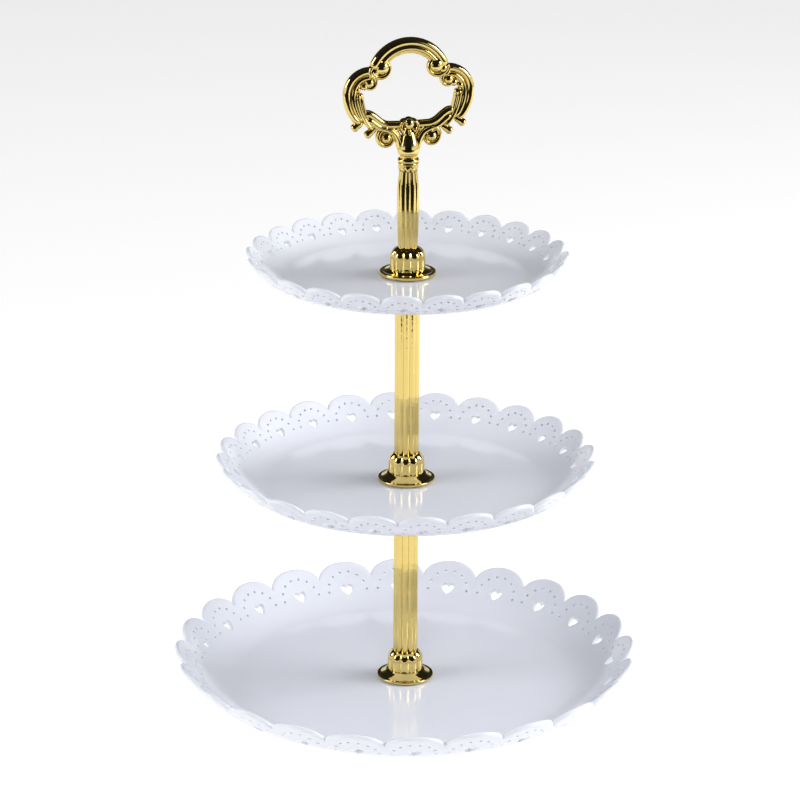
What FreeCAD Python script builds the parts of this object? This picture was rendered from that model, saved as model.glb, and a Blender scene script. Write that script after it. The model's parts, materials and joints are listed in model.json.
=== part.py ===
import FreeCAD, Part
import math
import os
from collections import namedtuple

# Three-tier cake stand: three scalloped dishes on a screwed post with a scrolled handle.
# Millimetres. +Z is up, the origin is on the post's axis where the stand meets the table,
# and the handle's ring lies in the XZ plane.

# ---------------------------------------------------------------- dishes
# rim_radius is the outermost point of a petal and tip_deg is where one petal's tip points. A share
# is a share of rim_radius: the three dishes are one design, and only their walls, feet and dots differ.
Dish = namedtuple("Dish", "name rim_radius wall foot_share foot_height dot_radius tip_deg")
BOTTOM = Dish("bottom_plate", 130.0, 2.8, 0.569, 5.2, 0.72, 2.5)
MIDDLE = Dish("middle_plate", 105.4, 2.6, 0.550, 2.4, 0.65, 4.95)
TOP = Dish("top_plate", 88.2, 2.5, 0.533, 2.2, 0.60, 13.1)
RIM_HEIGHT_SHARE = 0.1625
PETAL_DEPTH_SHARE = 0.071
BEND_RADIUS_SHARE = 0.262
PATTERN_DROP_SHARE = 0.1423
DOT_CIRCLE_SHARE = 0.09
HEART_WIDTH_SHARE = 0.0565
PETALS = 24
DOTS_PER_PETAL = 8
DOT_ARC_DEG = 183.0
RIM_SLOPE_DEG = 48.5
FOOT_RING_WIDTH = 3.0

# ---------------------------------------------------------------- stack
TIER_SPACING = 117.75
GASKET_THICKNESS = 0.8
GASKET_RADIUS = 12.5

# ---------------------------------------------------------------- screw thread
THREAD_RADIUS = 2.95
THREAD_CLEARANCE = 0.05
PLATE_HOLE_CLEARANCE = 0.65
THREAD_ENGAGEMENT = 9.0
INSERT_WALL = 2.0
INSERT_LENGTH = 11.0
STUD_ANCHOR = 12.0
END_CHAMFER = 0.6

# ---------------------------------------------------------------- screw, washer and pad below
BASE_PAD_THICKNESS = 1.0
BASE_PAD_RADIUS = 12.0
WASHER_THICKNESS = 1.0
WASHER_RADIUS = 11.0
SCREW_HOLE_CLEARANCE = 0.25
SCREW_HEAD_RADIUS = 7.5
SCREW_HEAD_HEIGHT = 2.2
SCREW_HEAD_DOME = 0.8
CROSS_LENGTH = 6.0
CROSS_WIDTH = 1.2
CROSS_DEPTH = 1.3

# ---------------------------------------------------------------- post
REEDS = 10
REED_DEPTH = 0.65
TUBE_RADIUS = 6.95
TUBE_WALL = 1.8
TUBE_BORE_RADIUS = TUBE_RADIUS - TUBE_WALL
SPIGOT_LENGTH = 8.0
CAP_RADIUS = TUBE_RADIUS + 4.6
CAP_THICKNESS = 2.5
CAP_COLLAR_RADIUS = TUBE_RADIUS + 1.4
CAP_COLLAR_HEIGHT = 3.0
STEM_BOTTOM_RADIUS = 5.35

# A foot is a round flange under a drum of lobes, and all its heights start at its base.
Foot = namedtuple("Foot", "flange_radius rim_height dome_height drum_radius drum_height "
                          "height neck_radius lobe_depth")
POST_FOOT = Foot(15.8, 1.4, 4.4, 10.1, 10.4, 15.2, TUBE_RADIUS + 0.2, 0.8)
HANDLE_FOOT = Foot(15.5, 2.1, 2.8, 9.8, 10.2, 15.2, STEM_BOTTOM_RADIUS + 0.3, 0.8)

# ---------------------------------------------------------------- handle
STEM_LENGTH = 42.0
STEM_BELLY_RADIUS = 6.15
STEM_TOP_RADIUS = 5.0
STEM_BELLY_SHARE = 0.62
COLLAR_HEIGHT = 4.6
COLLAR_RADIUS = 5.6
TIE_ROD_RADIUS = 2.0
TIE_ROD_IN_FOOT = 3.4
TIE_ROD_IN_RING = 9.0

# ---------------------------------------------------------------- ring, heights from its base
RING_WIDTH = 72.4
ROLL_DEPTH = 2.7
NECK_RADIUS = 6.1
NECK_HEIGHT = 21.0
BEAD_RADIUS = 6.0
BEAD_HEIGHT = 3.1
GROOVE_RADIUS = 4.9
GROOVE_TOP = 4.3
CREST_CENTRE = 44.7
CREST_RADIUS = 19.2
CREST_ROLL = 4.4
CREST_END_DEG = 20.0
CREST_BALL = (14.9, 52.6, 4.2)
SIDE_CENTRE = 38.0
SIDE_RADIUS = 11.2
SIDE_ROLL = 2.9
SIDE_START_DEG = -45.0
SIDE_END_DEG = 115.0
SIDE_BALL = (21.7, 44.6, 3.2)
LEAF_ROOTS = ((31.0, 30.0, 3.6), (28.0, 37.5, 3.0))
LEAF_TIPS = ((31.0, 18.8, 1.2), (24.0, 15.6, 1.2))
S_CENTRE = (9.3, 33.0)
S_RADIUS = 11.0
S_SHOULDER_RADIUS = 5.5
S_SHOULDER_END_DEG = 30.0
S_ROLL = 2.7
VOLUTE = (12.7, 14.2, 4.6)
STRAP_TOP = (8.0, 21.5, 2.4)
STRAP_FOOT = (4.5, 9.5, 2.2)
CENTRE_BEAD = (0.0, 21.3, 4.2)
BRIDGE_RADIUS = 2.4

# ---------------------------------------------------------------- worked out once
FLOOR_BOTTOM = BOTTOM.foot_height + BOTTOM.wall
FLOOR_MIDDLE = FLOOR_BOTTOM + TIER_SPACING
FLOOR_TOP = FLOOR_MIDDLE + TIER_SPACING
THREAD_BORE = THREAD_RADIUS + THREAD_CLEARANCE
INSERT_RADIUS = THREAD_BORE + INSERT_WALL
PLATE_HOLE_RADIUS = THREAD_RADIUS + PLATE_HOLE_CLEARANCE
UP = FreeCAD.Vector(0, 0, 1)
RISE = FreeCAD.Vector(0, -1, 0)


def vec(x, y, z):
    return FreeCAD.Vector(x, y, z)


def disc(radius, height, z, bore=0.0):
    """A flat ring or disc standing on height z."""
    solid = Part.makeCylinder(radius, height, vec(0, 0, z))
    if bore > 0:
        solid = solid.cut(Part.makeCylinder(bore, height + 2, vec(0, 0, z - 1)))
    return solid


def turned(edges):
    """The solid of revolution of a closed outline in the XZ plane."""
    return Part.Face(Part.Wire(edges)).revolve(vec(0, 0, 0), UP, 360)


def polyline(points):
    """The edges of a closed outline through (radius, height) points."""
    corners = [vec(r, 0, z) for r, z in points]
    return [Part.makeLine(a, b) for a, b in zip(corners, corners[1:] + corners[:1])]


def arc_through(start, middle, end):
    return Part.Arc(vec(*start), vec(*middle), vec(*end)).toShape()


def polar(radius, angle, z):
    return (radius * math.cos(angle), radius * math.sin(angle), z)


def lobed_wire(valley, crest, count, z):
    """A closed wire of outward arcs: cusps at the valley radius, tips at the crest radius."""
    step = 2 * math.pi / count
    arcs = []
    for i in range(count):
        a = i * step
        arcs.append(arc_through(polar(valley, a, z), polar(crest, a + step / 2, z),
                                polar(valley, a + step, z)))
    return Part.Wire(arcs)


def lobed_prism(crest, depth, count, z, height):
    face = Part.Face(lobed_wire(crest - depth, crest, count, z))
    return face.extrude(vec(0, 0, height))


# ---------------------------------------------------------------- dishes
class DishShape:
    """The section of one dish, from its flat floor through the bend to the sloping rim."""

    def __init__(self, dish):
        slope = math.radians(RIM_SLOPE_DEG)
        petal_depth = PETAL_DEPTH_SHARE * dish.rim_radius
        self.wall = dish.wall
        self.slope = slope
        self.normal = (math.sin(slope), -math.cos(slope))
        self.rim_height = RIM_HEIGHT_SHARE * dish.rim_radius
        self.bend_radius = BEND_RADIUS_SHARE * dish.rim_radius
        self.tip = dish.rim_radius - dish.wall * self.normal[0]
        self.bend_top = self.bend_radius * (1 - math.cos(slope))
        self.bend_end = self.tip - (self.rim_height - self.bend_top) / math.tan(slope)
        self.floor_radius = self.bend_end - self.bend_radius * math.sin(slope)
        self.valley = self.tip - petal_depth * math.cos(slope)
        self.valley_height = self.rim_height - petal_depth * math.sin(slope)

    def below_tip(self, run):
        """Radius, height and slope of the upper face at a distance down from a petal's tip."""
        straight = (self.tip - self.bend_end) / math.cos(self.slope)
        if run <= straight:
            return (self.tip - run * math.cos(self.slope),
                    self.rim_height - run * math.sin(self.slope), self.slope)
        angle = max(self.slope - (run - straight) / self.bend_radius, 0.0)
        return (self.floor_radius + self.bend_radius * math.sin(angle),
                self.bend_radius * (1 - math.cos(angle)), angle)

    def bend_point(self, offset, angle):
        """A point of the bend's arc, on the face that lies offset below the upper face."""
        radius = self.bend_radius + offset
        return (self.floor_radius + radius * math.sin(angle), 0,
                self.bend_radius - radius * math.cos(angle))


def dish_bowl(shape):
    """The turned bowl, run a little past the rim so that the petals can be cut from it."""
    spare = 2 * shape.wall
    end_in = (shape.tip + spare * math.cos(shape.slope), 0,
              shape.rim_height + spare * math.sin(shape.slope))
    end_out = (end_in[0] + shape.wall * shape.normal[0], 0,
               end_in[2] + shape.wall * shape.normal[1])
    half, full = shape.slope / 2, shape.slope
    upper = [shape.bend_point(0, angle) for angle in (0, half, full)]
    lower = [shape.bend_point(shape.wall, angle) for angle in (full, half, 0)]
    hub_in = (PLATE_HOLE_RADIUS, 0, 0)
    hub_out = (PLATE_HOLE_RADIUS, 0, -shape.wall)
    edges = [
        Part.makeLine(vec(*hub_in), vec(*upper[0])),
        arc_through(*upper),
        Part.makeLine(vec(*upper[2]), vec(*end_in)),
        Part.makeLine(vec(*end_in), vec(*end_out)),
        Part.makeLine(vec(*end_out), vec(*lower[0])),
        arc_through(*lower),
        Part.makeLine(vec(*lower[2]), vec(*hub_out)),
        Part.makeLine(vec(*hub_out), vec(*hub_in)),
    ]
    return turned(edges)


def petal_cutter(shape):
    """A solid whose flaring side cuts the rim square to the wall along 24 petals."""
    flare = math.tan(shape.slope)
    wires = []
    for z in (-2 * shape.wall, shape.rim_height + 3 * shape.wall):
        valley = shape.valley + (shape.valley_height - z) * flare
        crest = shape.tip + (shape.rim_height - z) * flare
        wires.append(lobed_wire(valley, crest, PETALS, z))
    return Part.makeLoft(wires, True, True)


def foot_ring(dish):
    """The rounded ring that the dish stands on."""
    middle = dish.foot_share * dish.rim_radius
    inner = middle - FOOT_RING_WIDTH / 2
    outer = middle + FOOT_RING_WIDTH / 2
    base = -dish.wall - dish.foot_height
    ring = disc(outer, dish.foot_height + dish.wall / 2, base, bore=inner)
    rims = [e for e in ring.Edges if e.BoundBox.ZMax < base + 0.01 and e.isClosed()]
    return ring.makeFillet(0.2 * FOOT_RING_WIDTH, rims)


def heart_face(width):
    """A heart in the XY plane: two round lobes towards +X and a point towards -X."""
    lobe = width / 4
    side = 0.93 * width
    start = vec(-side / 2, 0, 0)
    notch = vec(side / 4, 0, 0)
    shoulder_x = side / 4
    left = Part.Arc(vec(shoulder_x, 2 * lobe, 0), vec(shoulder_x + lobe, lobe, 0), notch).toShape()
    right = Part.Arc(notch, vec(shoulder_x + lobe, -lobe, 0), vec(shoulder_x, -2 * lobe, 0)).toShape()
    bulge = 0.62 * width
    flank = (-side / 8, 0.78 * bulge / 2 + 0.06 * width)
    up = Part.Arc(start, vec(flank[0], flank[1], 0), vec(shoulder_x, 2 * lobe, 0)).toShape()
    down = Part.Arc(vec(shoulder_x, -2 * lobe, 0), vec(flank[0], -flank[1], 0), start).toShape()
    return Part.Face(Part.Wire([up, left, right, down]))


def piercing(shape, tool, side, run, angle):
    """Stand a punch on the upper face, square to it, beside a petal's middle line."""
    radius, height, slope = shape.below_tip(run)
    punch = tool.copy()
    punch.rotate(vec(0, 0, 0), vec(0, -1, 0), math.degrees(slope))
    punch.translate(vec(radius, 0, height))
    punch.rotate(vec(0, 0, 0), UP, math.degrees(angle + side / radius))
    return punch


def petal_holes(shape, dish):
    """One heart and an arc of dots for each petal."""
    deep = 3 * dish.wall
    drop = PATTERN_DROP_SHARE * dish.rim_radius
    circle = DOT_CIRCLE_SHARE * dish.rim_radius
    heart = heart_face(HEART_WIDTH_SHARE * dish.rim_radius).extrude(vec(0, 0, deep))
    heart.translate(vec(0, 0, -deep / 2))
    dot = Part.makeCylinder(dish.dot_radius, deep, vec(0, 0, -deep / 2))
    punches = []
    for petal in range(PETALS):
        middle = (petal + 0.5) * 2 * math.pi / PETALS
        punches.append(piercing(shape, heart, 0, drop, middle))
        for i in range(DOTS_PER_PETAL):
            around = math.radians(DOT_ARC_DEG * (i / (DOTS_PER_PETAL - 1) - 0.5))
            side = circle * math.sin(around)
            run = drop - circle * math.cos(around)
            punches.append(piercing(shape, dot, side, run, middle))
    return Part.makeCompound(punches)


def plate(dish, floor_z):
    """One dish, cut with a valley on the turned bowl's seam and then turned to its place."""
    shape = DishShape(dish)
    body = dish_bowl(shape).common(petal_cutter(shape))
    body = body.cut(petal_holes(shape, dish))
    body = body.fuse(foot_ring(dish)).removeSplitter()
    body.rotate(vec(0, 0, 0), UP, dish.tip_deg - 180 / PETALS)
    body.translate(vec(0, 0, floor_z))
    return body


# ---------------------------------------------------------------- fastening
def rod(radius, bottom, top):
    """A round rod with both ends chamfered."""
    return turned(polyline([(0, bottom), (radius - END_CHAMFER, bottom), (radius, bottom + END_CHAMFER),
                            (radius, top - END_CHAMFER), (radius - END_CHAMFER, top), (0, top)]))


def base_screw(pad_top):
    """The flat-headed screw that holds the lowest dish to the post."""
    under_head = pad_top - BASE_PAD_THICKNESS - WASHER_THICKNESS
    bottom = under_head - SCREW_HEAD_HEIGHT
    end = FLOOR_BOTTOM + GASKET_THICKNESS + THREAD_ENGAGEMENT
    chamfered = THREAD_RADIUS - END_CHAMFER
    screw = turned(polyline([(0, bottom), (SCREW_HEAD_RADIUS - 2 * SCREW_HEAD_DOME, bottom),
                             (SCREW_HEAD_RADIUS, bottom + SCREW_HEAD_DOME),
                             (SCREW_HEAD_RADIUS, under_head), (THREAD_RADIUS, under_head),
                             (THREAD_RADIUS, end - END_CHAMFER), (chamfered, end), (0, end)]))
    for length, width in ((CROSS_LENGTH, CROSS_WIDTH), (CROSS_WIDTH, CROSS_LENGTH)):
        slot = Part.makeBox(length, width, CROSS_DEPTH, vec(-length / 2, -width / 2, bottom))
        screw = screw.cut(slot)
    return screw


def gasket(bottom):
    return disc(GASKET_RADIUS, GASKET_THICKNESS, bottom, bore=PLATE_HOLE_RADIUS)


# ---------------------------------------------------------------- post
def foot(spec, base, spigot_radius, spigot_length):
    """A flange, a lobed drum with a rounded shoulder, and a spigot for the tube above."""
    z = lambda height: base + height
    flange = turned(
        polyline([(0, z(0)), (spec.flange_radius, z(0)), (spec.flange_radius, z(0.6 * spec.rim_height)),
                  (spec.flange_radius - 0.4 * spec.rim_height, z(spec.rim_height)),
                  (spec.drum_radius - spec.lobe_depth, z(spec.dome_height)), (0, z(spec.dome_height))]))
    shoulder = arc_through((spec.drum_radius, 0, z(spec.drum_height)),
                           (spec.neck_radius + 0.8 * (spec.drum_radius - spec.neck_radius), 0,
                            z(spec.drum_height + 0.62 * (spec.height - spec.drum_height))),
                           (spec.neck_radius, 0, z(spec.height)))
    outline = [
        Part.makeLine(vec(0, 0, z(0.5 * spec.dome_height)), vec(spec.drum_radius, 0, z(0.5 * spec.dome_height))),
        Part.makeLine(vec(spec.drum_radius, 0, z(0.5 * spec.dome_height)),
                      vec(spec.drum_radius, 0, z(spec.drum_height))),
        shoulder,
        Part.makeLine(vec(spec.neck_radius, 0, z(spec.height)), vec(0, 0, z(spec.height))),
        Part.makeLine(vec(0, 0, z(spec.height)), vec(0, 0, z(0.5 * spec.dome_height))),
    ]
    drum = turned(outline).common(lobed_prism(spec.drum_radius, spec.lobe_depth, REEDS, base, spec.height + 1))
    body = flange.fuse(drum)
    if spigot_length > 0:
        body = body.fuse(disc(spigot_radius, spigot_length + 1, z(spec.height - 1)))
    body = body.cut(disc(INSERT_RADIUS, INSERT_LENGTH, base))
    return body.removeSplitter()


def foot_insert(base):
    """The threaded brass bush in a foot, which takes the screw or stud below it."""
    return disc(INSERT_RADIUS, INSERT_LENGTH, base, bore=THREAD_BORE)


def reeded_tube(bottom, top):
    tube = lobed_prism(TUBE_RADIUS, REED_DEPTH, REEDS, bottom, top - bottom)
    return tube.cut(disc(TUBE_BORE_RADIUS, top - bottom + 2, bottom - 1))


def tube_cap(top):
    """The plug in a tube's upper end, whose flange carries the dish above."""
    flange = disc(CAP_RADIUS, CAP_THICKNESS, top - CAP_THICKNESS)
    collar_bottom = top - CAP_THICKNESS - CAP_COLLAR_HEIGHT
    collar = disc(CAP_COLLAR_RADIUS, CAP_COLLAR_HEIGHT + 0.5, collar_bottom)
    plug = disc(TUBE_BORE_RADIUS, SPIGOT_LENGTH + 0.5, collar_bottom - SPIGOT_LENGTH)
    body = flange.fuse(collar).fuse(plug)
    body = body.cut(disc(THREAD_RADIUS, STUD_ANCHOR + 1, top - STUD_ANCHOR))
    return body.removeSplitter()


def post_section(name, base, dish_above):
    """One column: foot, insert, tube, cap, stud and the pad under the dish above it."""
    top = base + TIER_SPACING - dish_above.wall - 2 * GASKET_THICKNESS
    tube_bottom = base + POST_FOOT.height
    tube_top = top - CAP_THICKNESS - CAP_COLLAR_HEIGHT
    stud_top = top + 2 * GASKET_THICKNESS + dish_above.wall + THREAD_ENGAGEMENT
    return {
        name + "_foot": foot(POST_FOOT, base, TUBE_BORE_RADIUS, SPIGOT_LENGTH),
        name + "_foot_insert": foot_insert(base),
        name + "_tube": reeded_tube(tube_bottom, tube_top),
        name + "_tube_cap": tube_cap(top),
        name + "_stud": rod(THREAD_RADIUS, top - STUD_ANCHOR, stud_top),
        dish_above.name + "_lower_gasket": gasket(top),
    }


# ---------------------------------------------------------------- handle
def stem(base):
    """The reeded grip, slightly fuller at the height of its belly."""
    belly = STEM_BELLY_SHARE * STEM_LENGTH
    top = base + STEM_LENGTH
    outline = [
        Part.makeLine(vec(TIE_ROD_RADIUS, 0, base), vec(STEM_BOTTOM_RADIUS, 0, base)),
        arc_through((STEM_BOTTOM_RADIUS, 0, base), (STEM_BELLY_RADIUS, 0, base + belly),
                    (STEM_TOP_RADIUS, 0, top)),
        Part.makeLine(vec(STEM_TOP_RADIUS, 0, top), vec(TIE_ROD_RADIUS, 0, top)),
        Part.makeLine(vec(TIE_ROD_RADIUS, 0, top), vec(TIE_ROD_RADIUS, 0, base)),
    ]
    return turned(outline).common(lobed_prism(STEM_BELLY_RADIUS, REED_DEPTH, REEDS, base, STEM_LENGTH))


def collar(base):
    """The small petalled collar between the stem and the ring's neck."""
    outline = polyline([(0, base), (STEM_TOP_RADIUS, base), (COLLAR_RADIUS, base + 0.5 * COLLAR_HEIGHT),
                        (COLLAR_RADIUS, base + COLLAR_HEIGHT), (0, base + COLLAR_HEIGHT)])
    body = turned(outline).common(lobed_prism(COLLAR_RADIUS, REED_DEPTH, REEDS, base, COLLAR_HEIGHT))
    return body.cut(disc(TIE_ROD_RADIUS, COLLAR_HEIGHT + 2, base - 1))


def roll(centre, radius, half_width, start_deg, end_deg):
    """A rounded bar bent along an arc in the XZ plane, angles counted from +X towards +Z."""
    pivot = vec(centre[0], 0, centre[1])
    section = Part.Ellipse(pivot + vec(radius, 0, 0), half_width, min(ROLL_DEPTH, 0.98 * half_width))
    face = Part.Face(Part.Wire(section.toShape()))
    face.rotate(pivot, RISE, start_deg)
    return face.revolve(pivot, RISE, end_deg - start_deg)


def ball(spot):
    return Part.makeSphere(spot[2], vec(spot[0], 0, spot[1]))


def tapered(root, tip):
    """A round taper between two balls, each given as x, height and radius."""
    start = vec(root[0], 0, root[1])
    span = vec(tip[0], 0, tip[1]) - start
    cone = Part.makeCone(root[2], tip[2], span.Length, start, span)
    return cone.fuse(ball(root)).fuse(ball(tip))


def ring_half():
    """The right half of the ring's scrollwork, with heights from the ring's base."""
    side_x = RING_WIDTH / 2 - SIDE_RADIUS - SIDE_ROLL
    shoulder = (S_CENTRE[0] + (S_RADIUS + S_SHOULDER_RADIUS) * math.sqrt(0.5),
                S_CENTRE[1] - (S_RADIUS + S_SHOULDER_RADIUS) * math.sqrt(0.5))
    bridge_z = S_CENTRE[1] - S_RADIUS
    pieces = [
        ball(CREST_BALL),
        roll((side_x, SIDE_CENTRE), SIDE_RADIUS, SIDE_ROLL, SIDE_START_DEG, SIDE_END_DEG),
        ball(SIDE_BALL),
        roll(S_CENTRE, S_RADIUS, S_ROLL, -90, -45),
        roll(shoulder, S_SHOULDER_RADIUS, S_ROLL, S_SHOULDER_END_DEG, 135),
        ball(VOLUTE),
        tapered(STRAP_TOP, STRAP_FOOT),
        tapered((0.0, bridge_z, BRIDGE_RADIUS), (S_CENTRE[0], bridge_z, 0.97 * BRIDGE_RADIUS)),
    ]
    pieces += [tapered(root, tip) for root, tip in zip(LEAF_ROOTS, LEAF_TIPS)]
    return pieces


def neck():
    """The turned neck under the ring: a bead, a groove and a bulb."""
    belly = 0.5 * (GROOVE_TOP + NECK_HEIGHT)
    outline = [
        Part.makeLine(vec(0, 0, 0), vec(GROOVE_RADIUS, 0, 0)),
        arc_through((GROOVE_RADIUS, 0, 0), (BEAD_RADIUS, 0, BEAD_HEIGHT / 2), (GROOVE_RADIUS, 0, BEAD_HEIGHT)),
        Part.makeLine(vec(GROOVE_RADIUS, 0, BEAD_HEIGHT), vec(GROOVE_RADIUS, 0, GROOVE_TOP)),
        arc_through((GROOVE_RADIUS, 0, GROOVE_TOP), (NECK_RADIUS, 0, 0.8 * belly),
                    (0.6 * NECK_RADIUS, 0, NECK_HEIGHT)),
        Part.makeLine(vec(0.6 * NECK_RADIUS, 0, NECK_HEIGHT), vec(0, 0, NECK_HEIGHT)),
        Part.makeLine(vec(0, 0, NECK_HEIGHT), vec(0, 0, 0)),
    ]
    return turned(outline)


def ring(base):
    crest = roll((0, CREST_CENTRE), CREST_RADIUS, CREST_ROLL, CREST_END_DEG, 180 - CREST_END_DEG)
    right = ring_half()
    left = [piece.mirror(vec(0, 0, 0), vec(1, 0, 0)) for piece in right]
    body = crest.fuse([neck(), ball(CENTRE_BEAD)] + right + left)
    body = body.cut(disc(TIE_ROD_RADIUS, TIE_ROD_IN_RING + 1, -1))
    body.translate(vec(0, 0, base))
    return body


def handle(base):
    stem_base = base + HANDLE_FOOT.height
    collar_base = stem_base + STEM_LENGTH
    ring_base = collar_base + COLLAR_HEIGHT
    handle_foot = foot(HANDLE_FOOT, base, 0, 0)
    rod_bottom = stem_base - TIE_ROD_IN_FOOT
    handle_foot = handle_foot.cut(disc(TIE_ROD_RADIUS, TIE_ROD_IN_FOOT + 1, rod_bottom))
    return {
        "handle_foot": handle_foot,
        "handle_foot_insert": foot_insert(base),
        "handle_stem": stem(stem_base),
        "handle_collar": collar(collar_base),
        "handle_tie_rod": rod(TIE_ROD_RADIUS, rod_bottom, ring_base + TIE_ROD_IN_RING),
        "handle_ring": ring(ring_base),
    }


# ---------------------------------------------------------------- assembly
def stand():
    under_dish = FLOOR_BOTTOM - BOTTOM.wall
    washer_top = under_dish - BASE_PAD_THICKNESS
    screw_bore = THREAD_RADIUS + SCREW_HOLE_CLEARANCE
    parts = {
        "bottom_plate": plate(BOTTOM, FLOOR_BOTTOM),
        "middle_plate": plate(MIDDLE, FLOOR_MIDDLE),
        "top_plate": plate(TOP, FLOOR_TOP),
        "base_pad": disc(BASE_PAD_RADIUS, BASE_PAD_THICKNESS, washer_top, bore=screw_bore),
        "base_washer": disc(WASHER_RADIUS, WASHER_THICKNESS, washer_top - WASHER_THICKNESS, bore=screw_bore),
        "base_screw": base_screw(under_dish),
        "bottom_plate_upper_gasket": gasket(FLOOR_BOTTOM),
        "middle_plate_upper_gasket": gasket(FLOOR_MIDDLE),
        "top_plate_upper_gasket": gasket(FLOOR_TOP),
    }
    parts.update(post_section("lower", FLOOR_BOTTOM + GASKET_THICKNESS, MIDDLE))
    parts.update(post_section("upper", FLOOR_MIDDLE + GASKET_THICKNESS, TOP))
    parts.update(handle(FLOOR_TOP + GASKET_THICKNESS))
    return parts


os.makedirs("parts", exist_ok=True)
for node, solid in stand().items():
    if not solid.isValid():
        raise ValueError(node + " is not a valid shape")
    solid.exportStep("parts/" + node + ".step")
    print(node, "solids", len(solid.Solids), "volume %.0f" % solid.Volume,
          "z %.2f to %.2f" % (solid.BoundBox.ZMin, solid.BoundBox.ZMax))
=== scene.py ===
"""Looks of a three-tier cake stand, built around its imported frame.

Sizes are millimetres in every class and become metres when a mesh is made.
"""

import json
import logging
import math
from dataclasses import dataclass
from enum import Enum
from typing import Callable, Iterable, Sequence

import bmesh
import bpy
import numpy as np
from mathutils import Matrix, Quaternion, Vector
from mathutils.geometry import delaunay_2d_cdt


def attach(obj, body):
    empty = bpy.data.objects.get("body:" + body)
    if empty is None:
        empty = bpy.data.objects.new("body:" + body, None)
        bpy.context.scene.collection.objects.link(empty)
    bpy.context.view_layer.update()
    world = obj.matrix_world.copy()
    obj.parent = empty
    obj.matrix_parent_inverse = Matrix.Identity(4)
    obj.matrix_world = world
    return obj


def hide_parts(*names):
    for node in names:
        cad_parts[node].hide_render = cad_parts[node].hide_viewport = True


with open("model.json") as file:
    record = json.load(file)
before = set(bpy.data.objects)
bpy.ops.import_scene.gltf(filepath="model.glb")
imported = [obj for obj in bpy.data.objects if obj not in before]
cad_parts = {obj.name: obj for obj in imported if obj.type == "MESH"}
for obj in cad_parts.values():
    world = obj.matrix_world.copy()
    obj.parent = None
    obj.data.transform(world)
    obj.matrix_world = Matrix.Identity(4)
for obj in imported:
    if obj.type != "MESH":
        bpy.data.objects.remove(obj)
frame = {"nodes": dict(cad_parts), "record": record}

LOG = logging.getLogger("cake_stand")
MM = 0.001
TAU = 2 * math.pi

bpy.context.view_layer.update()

# Heights of the stack, from the table up.
BOTTOM_FLOOR = 8.0
TIER_SPACING = 117.75
GASKET = 0.8
LOWER_BASE = BOTTOM_FLOOR + GASKET
MIDDLE_FLOOR = BOTTOM_FLOOR + TIER_SPACING
UPPER_BASE = MIDDLE_FLOOR + GASKET
TOP_FLOOR = MIDDLE_FLOOR + TIER_SPACING
HANDLE_BASE = TOP_FLOOR + GASKET
FOOT_HEIGHT = 15.2
STEM_LENGTH = 42.0
COLLAR_HEIGHT = 4.6
STEM_BASE = HANDLE_BASE + FOOT_HEIGHT
COLLAR_BASE = STEM_BASE + STEM_LENGTH
RING_BASE = COLLAR_BASE + COLLAR_HEIGHT
REEDS = 10
HUB_RADIUS = 3.6
THREAD_RADIUS = 2.95
TUBE_RADIUS = 6.95
TUBE_BORE = TUBE_RADIUS - 1.8
BOTTOM_WALL, MIDDLE_WALL, TOP_WALL = 2.8, 2.6, 2.5
CAP_SHOULDER = 5.5
CAP_THREAD_DEPTH = 12.0
STUD_REACH = 9.0
SECTOR_COLUMNS = 8

# Each tube and foot between two dishes: name, underside of the foot, next dish, its floor and its wall.
COLUMNS = (("lower", LOWER_BASE, "middle_plate", MIDDLE_FLOOR, MIDDLE_WALL),
           ("upper", UPPER_BASE, "top_plate", TOP_FLOOR, TOP_WALL))


# ---------------------------------------------------------------- nodes
class Signal:
    """One node socket, so that maths on it reads as an expression."""

    def __init__(self, maker: "NodeMaker", socket: bpy.types.NodeSocket) -> None:
        """Keep the socket and the maker of its tree.

        Args:
            maker: Adds the maths nodes.
            socket: The output that holds the value.
        """
        self.maker = maker
        self.socket = socket

    def _math(self, operation: str, left: object, right: object) -> "Signal":
        """Add one maths node.

        Args:
            operation: The node's operation.
            left: First value or signal.
            right: Second value or signal.

        Returns:
            The result as a signal.
        """
        made = self.maker.node("ShaderNodeMath", {"operation": operation}, {0: left, 1: right})
        return Signal(self.maker, made.outputs[0])

    def __add__(self, other: object) -> "Signal":
        """Add."""
        return self._math("ADD", self, other)

    def __radd__(self, other: object) -> "Signal":
        """Add to a number."""
        return self._math("ADD", other, self)

    def __sub__(self, other: object) -> "Signal":
        """Subtract."""
        return self._math("SUBTRACT", self, other)

    def __rsub__(self, other: object) -> "Signal":
        """Subtract from a number."""
        return self._math("SUBTRACT", other, self)

    def __mul__(self, other: object) -> "Signal":
        """Multiply."""
        return self._math("MULTIPLY", self, other)

    def __rmul__(self, other: object) -> "Signal":
        """Multiply a number."""
        return self._math("MULTIPLY", other, self)

    def __truediv__(self, other: object) -> "Signal":
        """Divide."""
        return self._math("DIVIDE", self, other)

    def __rtruediv__(self, other: object) -> "Signal":
        """Divide a number."""
        return self._math("DIVIDE", other, self)


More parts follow.
